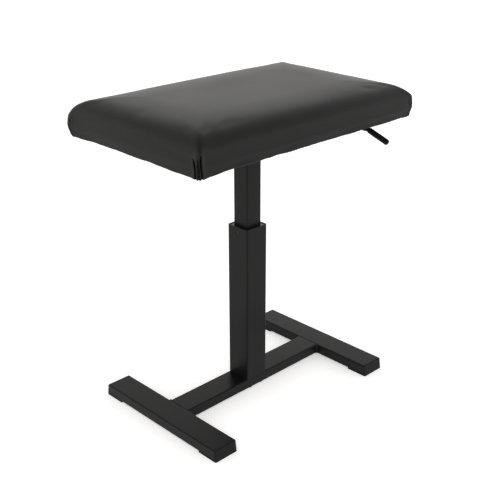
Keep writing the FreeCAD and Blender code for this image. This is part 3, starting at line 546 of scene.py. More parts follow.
def settle(piece):
    """Turn a piece and its modifiers into a plain mesh."""
    graph = bpy.context.evaluated_depsgraph_get()
    graph.update()
    plain = bpy.data.meshes.new_from_object(piece.evaluated_get(graph))
    plain.name = piece.name
    piece.modifiers.clear()
    piece.data = plain
    return piece


def smooth_step(value, low, high):
    """0 below low, 1 above high, and a soft ramp between."""
    share = np.clip((value - low) / (high - low), 0.0, 1.0)
    return share * share * (3.0 - 2.0 * share)


# The cushion


class CushionForm:
    """The seat's rounded form as a grid of points, from its top down to its turned-in edge."""

    MIDDLE_STEP = 0.0055
    COARSE_STEPS = 9
    FINE_STEPS = 30
    FINE_FROM = 0.58
    SIDE_RINGS, ROLL_RINGS, UNDER_RINGS = 26, 6, 9
    DOME_POWER = 2.0
    DOME_CORNER_POWER = 6

    def __init__(self, settings):
        self.settings = settings
        self.half = np.array([COVER_HIGH.x, COVER_HIGH.y])
        self.low, self.high = COVER_LOW.z, COVER_HIGH.z + settings.crown
        self.core = self.half - settings.edge_reach
        self.across = self.grid_lines(self.core[0])
        self.along = self.grid_lines(self.core[1])
        self.points = []
        self.faces = []
        self.build()

    def grid_lines(self, core):
        """Places along one axis: even in the middle, closer together towards the corners."""
        count = max(2, round(core / self.MIDDLE_STEP))
        middle = np.linspace(0.0, core, count, endpoint=False)
        coarse = np.linspace(0.0, self.FINE_FROM, self.COARSE_STEPS, endpoint=False)
        fine = np.linspace(self.FINE_FROM, 1.0, self.FINE_STEPS)
        edge = core + self.settings.edge_reach * np.concatenate([coarse, fine])
        half = np.concatenate([middle, edge])
        return np.concatenate([-half[:0:-1], half])

    def round_off(self, x, y):
        """Where a point of the plain grid lies, as signs, core part and place in the corner."""
        signs = np.array([math.copysign(1.0, x), math.copysign(1.0, y)])
        size = np.abs([x, y])
        share = np.maximum(size - self.core, 0.0) / self.settings.edge_reach
        return signs, np.minimum(size, self.core), share, share.max()

    def rounded(self, share, ring):
        """A corner place pulled in from the square corner, less so towards the side."""
        if ring == 0.0:
            return share
        s = self.settings
        lower = float(smooth_step(ring, 0.2, 1.0))
        power = s.corner_fullness + (s.hem_fullness - s.corner_fullness) * lower
        return share / (share ** power).sum() ** (1.0 / power)

    def dome(self, place):
        """How far the wide dome has fallen at a place on the top."""
        s = self.settings
        inside = np.clip(
            1.0 - (self.half - np.abs(place)) / s.dome_reach, 0.0, 1.0) ** self.DOME_POWER
        power = self.DOME_CORNER_POWER
        return s.dome_drop * (inside ** power).sum() ** (1.0 / power)

    def ring_profile(self):
        """The side's rings from the rounded edge down: height, inset from the widest outline."""
        s = self.settings
        rings = []
        shoulder = self.high - s.edge_drop - s.dome_drop
        hem = self.low + s.hem_roll
        heights = np.linspace(shoulder, hem, self.SIDE_RINGS)[1:]
        for height in heights:
            rings.append((height, self.taper(height)))
        start = self.taper(hem)
        for turn in np.linspace(0.0, math.pi / 2, self.ROLL_RINGS)[1:]:
            rings.append((
                hem - s.hem_roll * math.sin(turn), start + s.hem_roll * (1 - math.cos(turn))))
        cut_edge = s.turn_under + s.side_taper
        for inset in np.linspace(start + s.hem_roll, cut_edge, self.UNDER_RINGS)[1:]:
            rings.append((self.low, inset))
        rings.append((self.low + s.vinyl_thickness * 1.5, cut_edge))
        return rings

    def taper(self, height):
        """How far in from the widest outline the side is at a height."""
        s = self.settings
        share = np.clip((height - self.low) / s.taper_height, 0.0, 1.0)
        return s.side_taper * (1.0 - math.sin(share * math.pi / 2))

    def build(self):
        """The top's grid, the side's rings below it, and one face that closes the underside."""
        s = self.settings
        columns, rows = len(self.across), len(self.along)
        for x in self.across:
            for y in self.along:
                signs, core, share, ring = self.round_off(x, y)
                turn = ring * math.pi / 2
                share = self.rounded(share, ring)
                place = signs * (core + s.edge_reach * share * math.sin(turn))
                drop = s.edge_drop * (1 - math.cos(turn)) + self.dome(place)
                self.points.append((*place, self.high - drop))
        index = np.arange(columns * rows).reshape(columns, rows)
        for i in range(columns - 1):
            for j in range(rows - 1):
                self.faces.append(
                    (index[i, j], index[i + 1, j], index[i + 1, j + 1], index[i, j + 1]))
        loop = [index[i, 0] for i in range(columns)]
        loop += [index[columns - 1, j] for j in range(1, rows)]
        loop += [index[i, rows - 1] for i in range(columns - 2, -1, -1)]
        loop += [index[0, j] for j in range(rows - 2, 0, -1)]
        outline = []
        for number in loop:
            i, j = divmod(int(number), rows)
            signs, core, share, _ = self.round_off(self.across[i], self.along[j])
            outline.append((signs, core, share))
        above = loop
        level = np.array([self.points[int(k)][2] for k in loop])
        top = level.max()
        for height, inset in self.ring_profile():
            low_corner = (level - top) * smooth_step(height, self.low + 6 * MM, top)
            first = len(self.points)
            for (signs, core, share), lower in zip(outline, low_corner):
                place = signs * (core + (s.edge_reach - inset) * self.rounded(share, 1.0))
                self.points.append((*place, height + lower))
            ring = list(range(first, first + len(loop)))
            for k in range(len(loop)):
                after = (k + 1) % len(loop)
                self.faces.append((above[k], ring[k], ring[after], above[after]))
            above = ring
        self.faces.append(tuple(reversed(above)))
        self.faces = [tuple(int(n) for n in face) for face in self.faces]
        self.points = np.array(self.points)


def mesh_normals(points, faces):
    """The outward direction at each point."""
    mesh = bpy.data.meshes.new("scratch")
    mesh.from_pydata([tuple(point) for point in points], [], faces)
    normals = np.zeros(len(points) * 3, np.float32)
    mesh.vertex_normals.foreach_get("vector", normals)
    bpy.data.meshes.remove(mesh)
    return normals.reshape(-1, 3).astype(float)


SWELL_FRAMES = 20


def swell(points, faces, settings, floor):
    """How far each point moves when the padding swells as cloth under pressure."""
    scene = bpy.context.scene
    rough = new_piece("padding_form", points, faces, None)
    remesh = rough.modifiers.new("Remesh", "REMESH")
    remesh.mode = "VOXEL"
    remesh.voxel_size = settings.cloth_size
    settle(rough)
    count = len(rough.data.vertices)
    rest = np.zeros(count * 3)
    rough.data.vertices.foreach_get("co", rest)
    rest = rest.reshape(-1, 3)
    held = rough.vertex_groups.new(name="held")
    held.add([int(k) for k in np.flatnonzero(rest[:, 2] < floor)], 1.0, "REPLACE")
    cloth = rough.modifiers.new("Cloth", "CLOTH")
    cloth.settings.quality = 6
    cloth.settings.mass = 0.3
    cloth.settings.tension_stiffness = 25.0
    cloth.settings.compression_stiffness = 25.0
    cloth.settings.shear_stiffness = 12.0
    cloth.settings.bending_stiffness = 2.0
    cloth.settings.use_pressure = True
    cloth.settings.uniform_pressure_force = settings.air_pressure
    cloth.settings.vertex_group_mass = "held"
    cloth.settings.effector_weights.gravity = 0.0
    cloth.collision_settings.use_collision = False
    cloth.point_cache.frame_end = SWELL_FRAMES
    for number in range(1, SWELL_FRAMES + 1):
        scene.frame_set(number)
    graph = bpy.context.evaluated_depsgraph_get()
    swollen = rough.evaluated_get(graph).to_mesh()
    moved = np.zeros(count * 3)
    swollen.vertices.foreach_get("co", moved)
    shift = moved.reshape(-1, 3) - rest
    length = np.linalg.norm(shift, axis=1, keepdims=True)
    shift *= settings.swell_share * np.minimum(
        1.0, settings.swell_limit / np.maximum(length, 1e-9))
    polygons = [tuple(face.vertices) for face in rough.data.polygons]
    corners = [Vector(point) for point in rest]
    tree = BVHTree.FromPolygons(corners, polygons)
    result = np.zeros_like(points)
    for number, point in enumerate(points):
        place, _, face, _ = tree.find_nearest(Vector(point))
        weights = poly_3d_calc([corners[k] for k in polygons[face]], place)
        result[number] = sum(w * shift[k] for w, k in zip(weights, polygons[face]))
    rough.evaluated_get(graph).to_mesh_clear()
    bpy.data.objects.remove(rough)
    scene.frame_set(1)
    return result * smooth_step(points[:, 2], floor, floor + 8 * MM)[:, None]


def ripple(points, size, seed):
    """Smooth noise from -1 to 1 at each point, with bumps of the given size."""
    shift = Vector((seed * 7.3, seed * 3.1, seed * 5.7))
    return np.array([noise.noise(Vector(point) / size + shift) for point in points])


# Each corner's pleat: which corner, where its fold, hollow and fold sit from the middle, how far
# each leans at its top and how tall each is, how far the bulk of the folds hangs down and pushes
# out, and how far along each side that shows
PLEATS = (
    {"corner": (-1, -1), "place": (-6.0, -1.3, 3.0), "lean": (-2.8, 0.3, -1.0),
     "tall": (1.00, 1.36, 1.22), "hang": 4.6, "flare": 0.6, "spread": (45, 130)},
    {"corner": (1, -1), "place": (-3.8, 0.9, 5.6), "lean": (1.2, 0.4, 2.4),
     "tall": (1.12, 1.42, 0.98), "hang": -0.5, "flare": -1.0, "spread": (30, 30)},
    {"corner": (1, 1), "place": (-5.4, -0.6, 4.4), "lean": (-2.2, 0.2, -0.8),
     "tall": (0.97, 1.30, 1.10), "hang": 1.6, "flare": 0.3, "spread": (40, 35)},
    {"corner": (-1, 1), "place": (-4.2, 0.8, 5.5), "lean": (0.8, -0.4, 1.9),
     "tall": (1.06, 1.38, 1.00), "hang": 1.9, "flare": 2.0, "spread": (30, 50)},
)


FOLD_GAP = 1.45 * MM
HOLLOW_GAP = 1.9 * MM
HOLLOW_DEPTH = 0.66
LIP_HEIGHT, LIP_AWAY, LIP_WIDTH = 0.6 * MM, 2.6 * MM, 1.4 * MM
INNER_HEIGHT, INNER_AWAY, INNER_WIDTH = 0.5 * MM, 2.1 * MM, 0.9 * MM


def groove(offset, half_width):
    """The cross-section of a narrow gap: 1 at its middle and 0 beyond its half width."""
    return np.clip(1.0 - np.abs(offset) / half_width, 0.0, 1.0) ** 0.8


def fold_corners(points, form, settings):
    """Press an inverted box pleat into each corner: two folds, and a hollow between them."""
    for pleat in PLEATS:
        outward = np.array([*pleat["corner"], 0.0]) / math.sqrt(2.0)
        sideways = np.array([-outward[1], outward[0], 0.0])
        tip = np.array([*(form.half * pleat["corner"]), 0.0])
        inset = -(points - tip) @ outward
        near = (inset < 24 * MM) & (points[:, 2] < form.low + 50 * MM)
        height = points[near][:, 2] - form.low
        rise = np.clip(height / settings.pleat_height, 0.0, 1.0)
        across = (points[near] - tip) @ sideways
        press = np.zeros(len(height))
        for side, place, lean, share in zip(
            (-1, 0, 1), pleat["place"], pleat["lean"], pleat["tall"],
        ):
            top = settings.pleat_height * share
            fade = 1.0 - smooth_step(height, (0.74 if side else 0.4) * top, top)
            sway = 0.4 * MM * np.sin(height / (6 * MM) + side)
            offset = across - (place + lean * rise ** 1.5) * MM - sway
            if side:
                press += settings.pleat_depth * fade * groove(offset, FOLD_GAP)
                lip = np.exp(-((offset - side * LIP_AWAY) / LIP_WIDTH) ** 2)
                inner = np.exp(-((offset + side * INNER_AWAY) / INNER_WIDTH) ** 2)
                press -= LIP_HEIGHT * fade * lip + INNER_HEIGHT * fade * inner
            else:
                press += HOLLOW_DEPTH * settings.pleat_depth * fade * groove(offset, HOLLOW_GAP)
        press *= 1.0 - smooth_step(inset[near], 13 * MM, 20 * MM)
        points[near] -= np.outer(press, outward)


class BENCH_OT_build_cushion(Operator):
    """Build the upholstered seat: swollen padding under vinyl, pleated at the corners"""

    bl_idname = "bench.build_cushion"
    bl_label = "Build Cushion"

    BOARD_GRIP = 2 * MM
    SOFT_FROM_BOARD = 14 * MM
    SLOW_WAVE, QUICK_WAVE, SIDE_WAVE, TOP_WAVE = 26 * MM, 11 * MM, 55 * MM, 90 * MM
    HEM_DROOP = 0.7 * MM
    SIDE_RIPPLE = 0.35 * MM
    TOP_RIPPLE = 0.35 * MM
    LEAN_ALONG, LEAN_ACROSS = 1.3 * MM, 0.9 * MM
    FLARE_REACH = 26 * MM

    def execute(self, context):
        settings = context.scene.bench_cushion
        form = CushionForm(settings)
        points = form.points.copy()
        floor = BOARD_HIGH.z - self.BOARD_GRIP
        normals = mesh_normals(points, form.faces)
        soft = smooth_step(points[:, 2], floor, floor + self.SOFT_FROM_BOARD)
        points -= normals * (settings.start_inset * soft)[:, None]
        points += swell(points, form.faces, settings, floor)
        self.waver(points, form, settings)
        fold_corners(points, form, settings)
        cushion = new_piece("seat_cushion", points, form.faces, finish_material("seat_vinyl"))
        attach(cushion, "seat")
        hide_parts("seat_cover", "foam_pad")
        return {"FINISHED"}

    def waver(self, points, form, settings):
        """Let the hem waver between its staples, and the sides ripple a little."""
        height = points[:, 2] - form.low
        outer = np.maximum(
            np.abs(points[:, 0]) - form.half[0], np.abs(points[:, 1]) - form.half[1])
        at_hem = np.exp(-(height / (7 * MM)) ** 2) * smooth_step(outer, -16 * MM, -9 * MM)
        slow = ripple(points * (1, 1, 0.4), self.SLOW_WAVE, 1)
        quick_wave = ripple(points * (1, 1, 0.5), self.QUICK_WAVE, 2)
        wave = settings.hem_wave * (slow + 0.45 * quick_wave)
        points[:, 2] += at_hem * np.maximum(wave, -0.3 * MM)
        inward = np.sign(points[:, :2]) * (np.abs(points[:, :2]) > form.half - 12 * MM)
        points[:, :2] -= inward * (at_hem * (0.7 * wave + 0.2 * MM))[:, None]
        loose = smooth_step(outer, -15 * MM, -7 * MM) * (1 - smooth_step(height, 4 * MM, 24 * MM))
        points[:, 2] -= self.HEM_DROOP * loose
        for pleat in PLEATS:
            away = form.half - points[:, :2] * pleat["corner"]
            spread = np.array(pleat["spread"]) * MM
            points[:, 2] -= pleat["hang"] * MM * loose * np.exp(
                -np.linalg.norm(away / spread, axis=1) ** 1.3)
            out = np.exp(-(np.linalg.norm(away, axis=1) / self.FLARE_REACH) ** 2)
            out *= smooth_step(height, -4 * MM, 6 * MM)
            out *= 1 - smooth_step(height, 28 * MM, 44 * MM)
            points[:, :2] += np.outer(pleat["flare"] * MM * out, pleat["corner"])
        on_side = smooth_step(height, 2 * MM, 10 * MM) * smooth_step(outer, -14 * MM, -6 * MM)
        side_wave = ripple(points * (1, 1, 1.6), self.SIDE_WAVE, 3)
        points[:, :2] -= inward * (on_side * self.SIDE_RIPPLE * (1 + side_wave))[:, None]
        on_top = smooth_step(height, 35 * MM, 48 * MM)
        lean = self.LEAN_ALONG * points[:, 1] / form.half[1]
        lean -= self.LEAN_ACROSS * points[:, 0] / form.half[0]
        points[:, 2] += on_top * (lean + self.TOP_RIPPLE * ripple(points, self.TOP_WAVE, 4))


# Underside


WRINKLES_PER_METRE, FINE_WRINKLES_PER_METRE = 22, 55
STAPLE_PULL = 0.12 * MM
HEM_FOLD = 0.25 * MM


def dust_height(x, y, settings):
    """Height of the dust cover's middle surface under a point of the seat."""
    cover = bpy.context.scene.bench_cushion
    half = np.array([DUST_HIGH.x, DUST_HIGH.y])
    opening = np.array([COVER_HIGH.x, COVER_HIGH.y]) - cover.side_taper - cover.turn_under
    under_vinyl = COVER_LOW.z - settings.cloth_thickness * 0.75
    on_board = BOARD_LOW.z - settings.cloth_thickness * 0.75
    inside = min(opening[0] - abs(x), opening[1] - abs(y))
    edge = min(half[0] - abs(x), half[1] - abs(y))
    lift = float(smooth_step(inside, -1 * MM, 7 * MM))
    height = under_vinyl + (on_board - under_vinyl) * lift
    free = max(abs(x) - PLATE_HIGH.x, abs(y) - PLATE_HIGH.y)
    slack = float(smooth_step(free, 0.0, 20 * MM) * smooth_step(inside, 0.0, 30 * MM))
    coarse = noise.noise(Vector((x * WRINKLES_PER_METRE, y * WRINKLES_PER_METRE, 3.0)))
    wrinkle = coarse + 0.5 * noise.noise(
        Vector((x * FINE_WRINKLES_PER_METRE, y * FINE_WRINKLES_PER_METRE, 8.0)))
    height -= slack * settings.sag * (1 + 0.8 * wrinkle)
    along = x if half[1] - abs(y) < half[0] - abs(x) else y
    pull = math.cos(2 * math.pi * along / settings.staple_spacing)
    height += STAPLE_PULL * pull * float(smooth_step(-edge, -26 * MM, -6 * MM))
    if edge < settings.hem_width:
        height -= HEM_FOLD
    return height


class BENCH_OT_build_dust_cover(Operator):
    """Stretch the dust cover over the vinyl's turned-in edge"""

    bl_idname = "bench.build_dust_cover"
    bl_label = "Build Dust Cover"

    STEP = 0.004

    def execute(self, context):
        settings = context.scene.bench_underside
        half = (DUST_HIGH.x, DUST_HIGH.y)
        lines = [np.linspace(-size, size, round(2 * size / self.STEP) + 1) for size in half]
        points = [(x, y, dust_height(x, y, settings)) for x in lines[0] for y in lines[1]]
        rows = len(lines[1])
        faces = [
            (i * rows + j, i * rows + j + 1, (i + 1) * rows + j + 1, (i + 1) * rows + j)
            for i in range(len(lines[0]) - 1) for j in range(rows - 1)
        ]
        cloth = new_piece("dust_cover_cloth", points, faces, finish_material("dust_cloth"))
        wall = cloth.modifiers.new("Thickness", "SOLIDIFY")
        wall.thickness = settings.cloth_thickness
        wall.offset = 0.0
        settle(cloth)
        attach(cloth, "seat")
        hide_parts("dust_cover")
        return {"FINISHED"}


def along_curve(tree, curve, diameter, sides, scale=None):
    """A round bar along a curve, with closed ends, as a socket."""
    section = add_node(tree, "GeometryNodeCurvePrimitiveCircle", {
        "Resolution": sides, "Radius": times(tree, diameter, 0.5)})
    values = {"Curve": curve, "Profile Curve": section.outputs[0], "Fill Caps": True}
    if scale is not None:
        values["Scale"] = scale
    return add_node(tree, "GeometryNodeCurveToMesh", values).outputs[0]


def even_curve(tree, lines, length):
    """Separate lines as curves with a point at every length, as a socket."""
    path = add_node(tree, "GeometryNodeMeshToCurve", {0: lines})
    return add_node(tree, "GeometryNodeResampleCurve", {
        "Curve": path.outputs[0], "Length": length}, mode="LENGTH").outputs[0]


def end_tree(tree, geometry, material, end):
    """Real copies in their material, out of the tree."""
    real = add_node(tree, "GeometryNodeRealizeInstances", {0: geometry})
    coat = add_node(tree, "GeometryNodeSetMaterial", {
        "Geometry": real.outputs[0], "Material": material})
    tree.links.new(coat.outputs[0], end.inputs[0])
    return tree


def staple_tree():
    """Geometry nodes that set staples along lines, a little unevenly."""
    tree, start, end = new_tree("staples_along_lines", "GeometryNodeTree", [
        ("Lines", "NodeSocketGeometry", None),
        ("Spacing", "NodeSocketFloat", 0.04),
        ("Crown", "NodeSocketFloat", 0.01),
        ("Leg", "NodeSocketFloat", 0.002),
        ("Wire", "NodeSocketFloat", 0.001),
        ("Uneven Angle", "NodeSocketFloat", 0.12),
        ("Seed", "NodeSocketInt", 0),
        ("Material", "NodeSocketMaterial", None),
    ], [("Staples", "NodeSocketGeometry")])
    given = start.outputs
    line = add_node(tree, "GeometryNodeMeshLine", {"Count": 4})
    index = add_node(tree, "GeometryNodeInputIndex").outputs[0]
    side = math_node(tree, "SUBTRACT", math_node(tree, "GREATER_THAN", index, 1.5), 0.5)
    inner = math_node(tree, "LESS_THAN", math_node(
        tree, "ABSOLUTE", math_node(tree, "SUBTRACT", index, 1.5)), 1.0)
    up = times(tree, math_node(tree, "SUBTRACT", 1.0, inner), given["Leg"])
    place = add_node(tree, "ShaderNodeCombineXYZ", {
        "X": times(tree, side, given["Crown"]), "Z": up})
    bend = add_node(tree, "GeometryNodeSetPosition", {
        "Geometry": line.outputs[0], "Position": place.outputs[0]})
    wire_line = add_node(tree, "GeometryNodeMeshToCurve", {0: bend.outputs[0]})
    fillet = add_node(tree, "GeometryNodeFilletCurve", {
        "Curve": wire_line.outputs[0], "Radius": given["Wire"], "Count": 3,
        "Limit Radius": True}, mode="POLY")
    wire = along_curve(tree, fillet.outputs[0], given["Wire"], 8)
    spots = add_node(tree, "GeometryNodeCurveToPoints", {
        "Curve": even_curve(tree, given["Lines"], times(tree, given["Spacing"], 0.1)),
        "Length": given["Spacing"]}, mode="LENGTH")
    tangent = add_node(tree, "ShaderNodeSeparateXYZ", {0: spots.outputs["Tangent"]})
    heading = math_node(tree, "ARCTAN2", tangent.outputs["Y"], tangent.outputs["X"])
    chance = add_node(tree, "FunctionNodeRandomValue", {
        2: times(tree, given["Uneven Angle"], -1.0), 3: given["Uneven Angle"],
        "Seed": given["Seed"]}, data_type="FLOAT")
    euler = add_node(tree, "ShaderNodeCombineXYZ", {
        "Z": math_node(tree, "ADD", heading, chance.outputs[1])})
    turn = add_node(tree, "FunctionNodeEulerToRotation", {0: euler.outputs[0]})
    copies = add_node(tree, "GeometryNodeInstanceOnPoints", {
        "Points": spots.outputs["Points"], "Instance": wire, "Rotation": turn.outputs[0]})
    return end_tree(tree, copies.outputs[0], given["Material"], end)


def run_tree(piece, tree, values):
    """Put a node tree on a piece with its inputs set, and keep only the result."""
    modifier = piece.modifiers.new("Nodes", "NODES")
    modifier.node_group = tree
    sockets = {
        item.name: item.identifier for item in tree.interface.items_tree
        if item.item_type == "SOCKET" and item.in_out == "INPUT"
    }
    for name, value in values.items():
        modifier[sockets[name]] = value
    settle(piece)
    piece.data.shade_smooth()
    if not piece.data.polygons:
        raise RuntimeError(f"{piece.name} came out empty")
    return piece


class BENCH_OT_build_staples(Operator):
    """Staple the dust cover's hem all round"""

    bl_idname = "bench.build_staples"
    bl_label = "Build Staples"

    LEG = 2.5 * MM
    UNEVEN_ANGLE = 0.14

    def execute(self, context):
        settings = context.scene.bench_underside
        inset = settings.hem_width * 0.55
        level = COVER_LOW.z - settings.cloth_thickness * 1.3 - HEM_FOLD
        x, y = DUST_HIGH.x - inset, DUST_HIGH.y - inset
        gap = settings.hem_width
        ends = [
            (gap - x, -y, level), (x - gap, -y, level), (x, gap - y, level), (x, y - gap, level),
            (x - gap, y, level), (gap - x, y, level), (-x, y - gap, level), (-x, gap - y, level)]
        edges = [(0, 1), (2, 3), (4, 5), (6, 7)]
        staples = new_piece("dust_cover_staples", ends, [], None, edges)
        run_tree(staples, staple_tree(), {
            "Spacing": settings.staple_spacing, "Crown": settings.staple_crown,
            "Leg": self.LEG, "Wire": settings.staple_wire, "Uneven Angle": self.UNEVEN_ANGLE,
            "Seed": settings.staple_seed, "Material": finish_material("staple_steel"),
        })
        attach(staples, "seat")
        return {"FINISHED"}


# Welds


def bead_tree():
    """Geometry nodes that run a rippled weld bead along each separate line."""
    tree, start, end = new_tree("weld_bead_along_lines", "GeometryNodeTree", [
        ("Lines", "NodeSocketGeometry", None),
        ("Width", "NodeSocketFloat", 0.006),
        ("Ripple Pitch", "NodeSocketFloat", 0.002),
        ("Ripple Depth", "NodeSocketFloat", 0.12),
        ("Unevenness", "NodeSocketFloat", 0.18),
        ("Material", "NodeSocketMaterial", None),
    ], [("Beads", "NodeSocketGeometry")])
    given = start.outputs
    fine = even_curve(tree, given["Lines"], times(tree, given["Ripple Pitch"], 0.125))
    along = add_node(tree, "GeometryNodeSplineParameter").outputs
    step = math_node(tree, "DIVIDE", along["Length"], given["Ripple Pitch"])
    hump = math_node(tree, "SINE", times(tree, math_node(tree, "FRACT", step), math.pi))
    where = add_node(tree, "GeometryNodeInputPosition")
    cloud = add_node(tree, "ShaderNodeTexNoise", {
        "Vector": where.outputs[0], "Scale": 260.0, "Detail": 1.0})
    uneven = times(
        tree, math_node(tree, "SUBTRACT", cloud.outputs["Fac"], 0.5), given["Unevenness"])
    ridge = times(tree, hump, given["Ripple Depth"])
    rest = math_node(tree, "SUBTRACT", 1.0, along["Factor"])
    ends = math_node(
        tree, "MULTIPLY", times(tree, along["Factor"], rest), 22.0, clamp=True)
    lumpy = math_node(tree, "ADD", math_node(tree, "ADD", 0.9, ridge), uneven)
    tapered = times(tree, math_node(tree, "SQRT", ends), 0.65)
    size = times(tree, lumpy, math_node(tree, "ADD", 0.35, tapered))
    beads = along_curve(tree, fine, given["Width"], 16, size)
    return end_tree(tree, beads, given["Material"], end)


BEAD_OUT = 0.16


def bead_piece(name, lines, width, pitch):
    """Weld beads along straight lines, each a pair of ends."""
    points = [point for line in lines for point in line]
    edges = [(2 * k, 2 * k + 1) for k in range(len(lines))]
    piece = new_piece(name, points, [], None, edges)
    tree = bpy.data.node_groups.get("weld_bead_along_lines") or bead_tree()
    return run_tree(piece, tree, {
        "Width": width, "Ripple Pitch": pitch, "Ripple Depth": 0.14, "Unevenness": 0.2,
        "Material": finish_material("weld_bead"),
    })


class BENCH_OT_build_foot_welds(Operator):
    """Weld the spine to the feet up the four inside corners"""

    bl_idname = "bench.build_foot_welds"
    bl_label = "Build Foot Welds"

    def execute(self, context):
        settings = context.scene.bench_frame
        low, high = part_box("left_foot_welds")
        out = settings.bead_width * BEAD_OUT
        lines = []
        for side in SIDES:
            for front in SIDES:
                x = side * (SPINE_HIGH.x - out)
                y = front * (SPINE_HIGH.y + out)
                lines.append([(x, y, low.z - 1.2 * MM), (x, y, high.z + 1.6 * MM)])
        beads = bead_piece(
            "foot_weld_beads", lines, settings.bead_width, settings.ripple_pitch)
        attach(beads, "base")
        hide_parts("left_foot_welds", "right_foot_welds")
        return {"FINISHED"}


class BENCH_OT_build_carrier_welds(Operator):
    """Weld the inner column and its gussets to the seat's carrier"""

    bl_idname = "bench.build_carrier_welds"
    bl_label = "Build Carrier Welds"

    START_GAP = 3 * MM
    END_GAP = 5 * MM
    SIDE_GAP = 4 * MM

    def execute(self, context):
        settings = context.scene.bench_frame
        out = settings.small_bead_width * BEAD_OUT
        level = STEM_HIGH.z - out
        half = STEM_HIGH.x
        tip, depth = GUSSET_HIGH.x, GUSSET_HIGH.y
        ribs = self.rib_half_thickness()
        lines = [[(-half * 0.8, -half - out, level), (half * 0.8, -half - out, level)]]
        for across in SIDES:
            shift = across * (ribs + out)
            start, stop = half + self.START_GAP, tip - self.END_GAP
            lines.append([(start, shift, level), (stop, shift, level)])
            lines.append([(-start, shift, level), (-stop, shift, level)])
            lines.append([(shift, start, level), (shift, depth - self.END_GAP, level)])
            near = across * (ribs + self.SIDE_GAP)
            far = across * half * 0.85
            lines.append([(half + out, near, level), (half + out, far, level)])
            lines.append([(-half - out, near, level), (-half - out, far, level)])
            lines.append([(near, half + out, level), (far, half + out, level)])
        beads = bead_piece(
            "carrier_weld_beads", lines, settings.small_bead_width, settings.ripple_pitch)
        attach(beads, "seat")
        return {"FINISHED"}

    def rib_half_thickness(self):
        """Half the thickness of a gusset, read from the rib on the right."""
        mesh = frame["nodes"]["carrier_gussets"].data
        return max(v.co.y for v in mesh.vertices if v.co.x > GUSSET_HIGH.x - 1 * MM)


# Finishes of the frame's own pieces


class BENCH_OT_finish_frame(Operator):
    """Give every piece of the frame the finish that its slot names"""

    bl_idname = "bench.finish_frame"
    bl_label = "Finish Frame"

    def execute(self, context):
        slots = {part["node"]: part["material_slot"] for part in frame["record"]["subparts"]}
        for name, node in frame["nodes"].items():
            material = finish_material(slots[name])
            if not node.material_slots:
                node.data.materials.append(material)
            for slot in node.material_slots:
                slot.material = material
        return {"FINISHED"}


# Studio


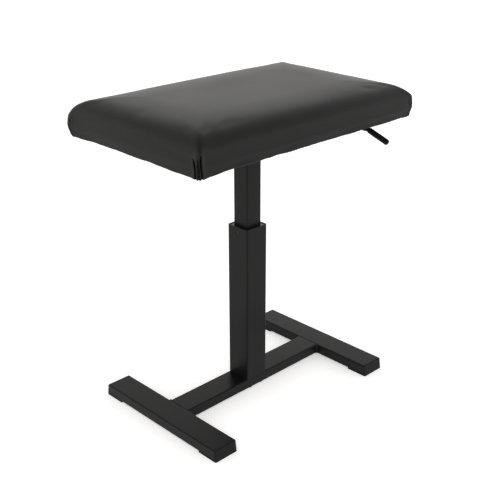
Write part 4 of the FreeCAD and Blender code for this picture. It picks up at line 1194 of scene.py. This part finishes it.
class BENCH_OT_build_studio(Operator):
    """Set out the floor, the soft light and the camera"""

    bl_idname = "bench.build_studio"
    bl_label = "Build Studio"

    HORIZON_TOP = 0.38
    ZENITH_FROM = 0.66
    SURROUNDINGS_COLOUR = (1.0, 0.985, 0.975, 1.0)
    LAMP_SIZE = 2.6
    LAMP_PLACE = (-0.3, -0.2, 2.6)
    LAMP_AIM = (0.0, 0.0, 0.2)
    SENSOR_WIDTH = 36.0

    def execute(self, context):
        settings = context.scene.bench_studio
        self.lay_floor(settings)
        self.light_surroundings(context.scene, settings)
        self.hang_light(context.scene, settings)
        self.set_camera(context.scene, settings)
        context.scene.view_settings.view_transform = "Standard"
        return {"FINISHED"}

    def lay_floor(self, settings):
        half = settings.floor_size / 2
        corners = [(-half, -half, 0), (half, -half, 0), (half, half, 0), (-half, half, 0)]
        material = bpy.data.materials.new("floor_paper")
        material.use_nodes = True
        tree = material.node_tree
        shader = tree.nodes["Principled BSDF"]
        shader.inputs["Roughness"].default_value = 0.9
        shader.inputs["Specular IOR Level"].default_value = 0.1
        shader.inputs["Base Color"].default_value = (*settings.floor_colour, 1.0)
        shader.inputs["Emission Color"].default_value = (1.0, 1.0, 1.0, 1.0)
        shader.inputs["Emission Strength"].default_value = settings.floor_glow
        floor = new_piece("floor", corners, [(0, 1, 2, 3)], material)

    def light_surroundings(self, scene, settings):
        world = bpy.data.worlds.new("surroundings")
        scene.world = world
        world.use_nodes = True
        tree = world.node_tree
        back = tree.nodes["Background"]
        direction = add_node(tree, "ShaderNodeTexCoord").outputs["Generated"]
        parts = add_node(tree, "ShaderNodeSeparateXYZ", {0: direction})
        level = stretch_range(
            tree, parts.outputs["Z"], self.HORIZON_TOP, self.ZENITH_FROM,
            settings.horizon_light, settings.zenith_light)
        tree.links.new(level, back.inputs["Strength"])
        back.inputs["Color"].default_value = self.SURROUNDINGS_COLOUR

    def hang_light(self, scene, settings):
        lamp = bpy.data.lights.new("overhead_softbox", "AREA")
        lamp.shape = "DISK"
        lamp.size = self.LAMP_SIZE
        lamp.energy = settings.overhead_power
        light = bpy.data.objects.new("overhead_softbox", lamp)
        light.location = self.LAMP_PLACE
        direction = Vector(self.LAMP_AIM) - light.location
        light.rotation_mode = "QUATERNION"
        light.rotation_quaternion = direction.to_track_quat("-Z", "Y")
        light.visible_glossy = False
        scene.collection.objects.link(light)

    def set_camera(self, scene, settings):
        eye = bpy.data.cameras.new("camera")
        eye.lens = settings.lens
        eye.sensor_width = self.SENSOR_WIDTH
        camera = bpy.data.objects.new("camera", eye)
        camera.location = settings.camera_place
        camera.rotation_mode = "QUATERNION"
        camera.rotation_quaternion = Vector(settings.camera_aim).to_track_quat("-Z", "Y")
        scene.collection.objects.link(camera)
        scene.camera = camera


class BENCH_PT_sidebar(Panel):
    """Buttons and sizes for the bench"""

    bl_idname = "BENCH_PT_sidebar"
    bl_label = "Piano Bench"
    bl_space_type = "VIEW_3D"
    bl_region_type = "UI"
    bl_category = "Bench"

    def draw(self, context):
        for operator in OPERATORS:
            self.layout.operator(operator.bl_idname)
        for name in SETTINGS:
            group = getattr(context.scene, name)
            box = self.layout.box()
            for key in group.__annotations__:
                box.prop(group, key)


SETTINGS = {
    "bench_cushion": CushionSettings,
    "bench_underside": UndersideSettings,
    "bench_frame": FrameSettings,
    "bench_studio": StudioSettings,
}
OPERATORS = (
    BENCH_OT_finish_frame,
    BENCH_OT_build_cushion,
    BENCH_OT_build_dust_cover,
    BENCH_OT_build_staples,
    BENCH_OT_build_foot_welds,
    BENCH_OT_build_carrier_welds,
    BENCH_OT_build_studio,
)


def register():
    for item in (*SETTINGS.values(), *OPERATORS, BENCH_PT_sidebar):
        bpy.utils.register_class(item)
    for name, group in SETTINGS.items():
        setattr(bpy.types.Scene, name, PointerProperty(type=group))


def unregister():
    for name in SETTINGS:
        delattr(bpy.types.Scene, name)
    for item in (BENCH_PT_sidebar, *reversed(OPERATORS), *SETTINGS.values()):
        bpy.utils.unregister_class(item)


def main():
    """Build everything in order."""
    register()
    bpy.ops.bench.finish_frame()
    bpy.ops.bench.build_cushion()
    bpy.ops.bench.build_dust_cover()
    bpy.ops.bench.build_staples()
    bpy.ops.bench.build_foot_welds()
    bpy.ops.bench.build_carrier_welds()
    bpy.ops.bench.build_studio()


if __name__ == "__main__":
    main()
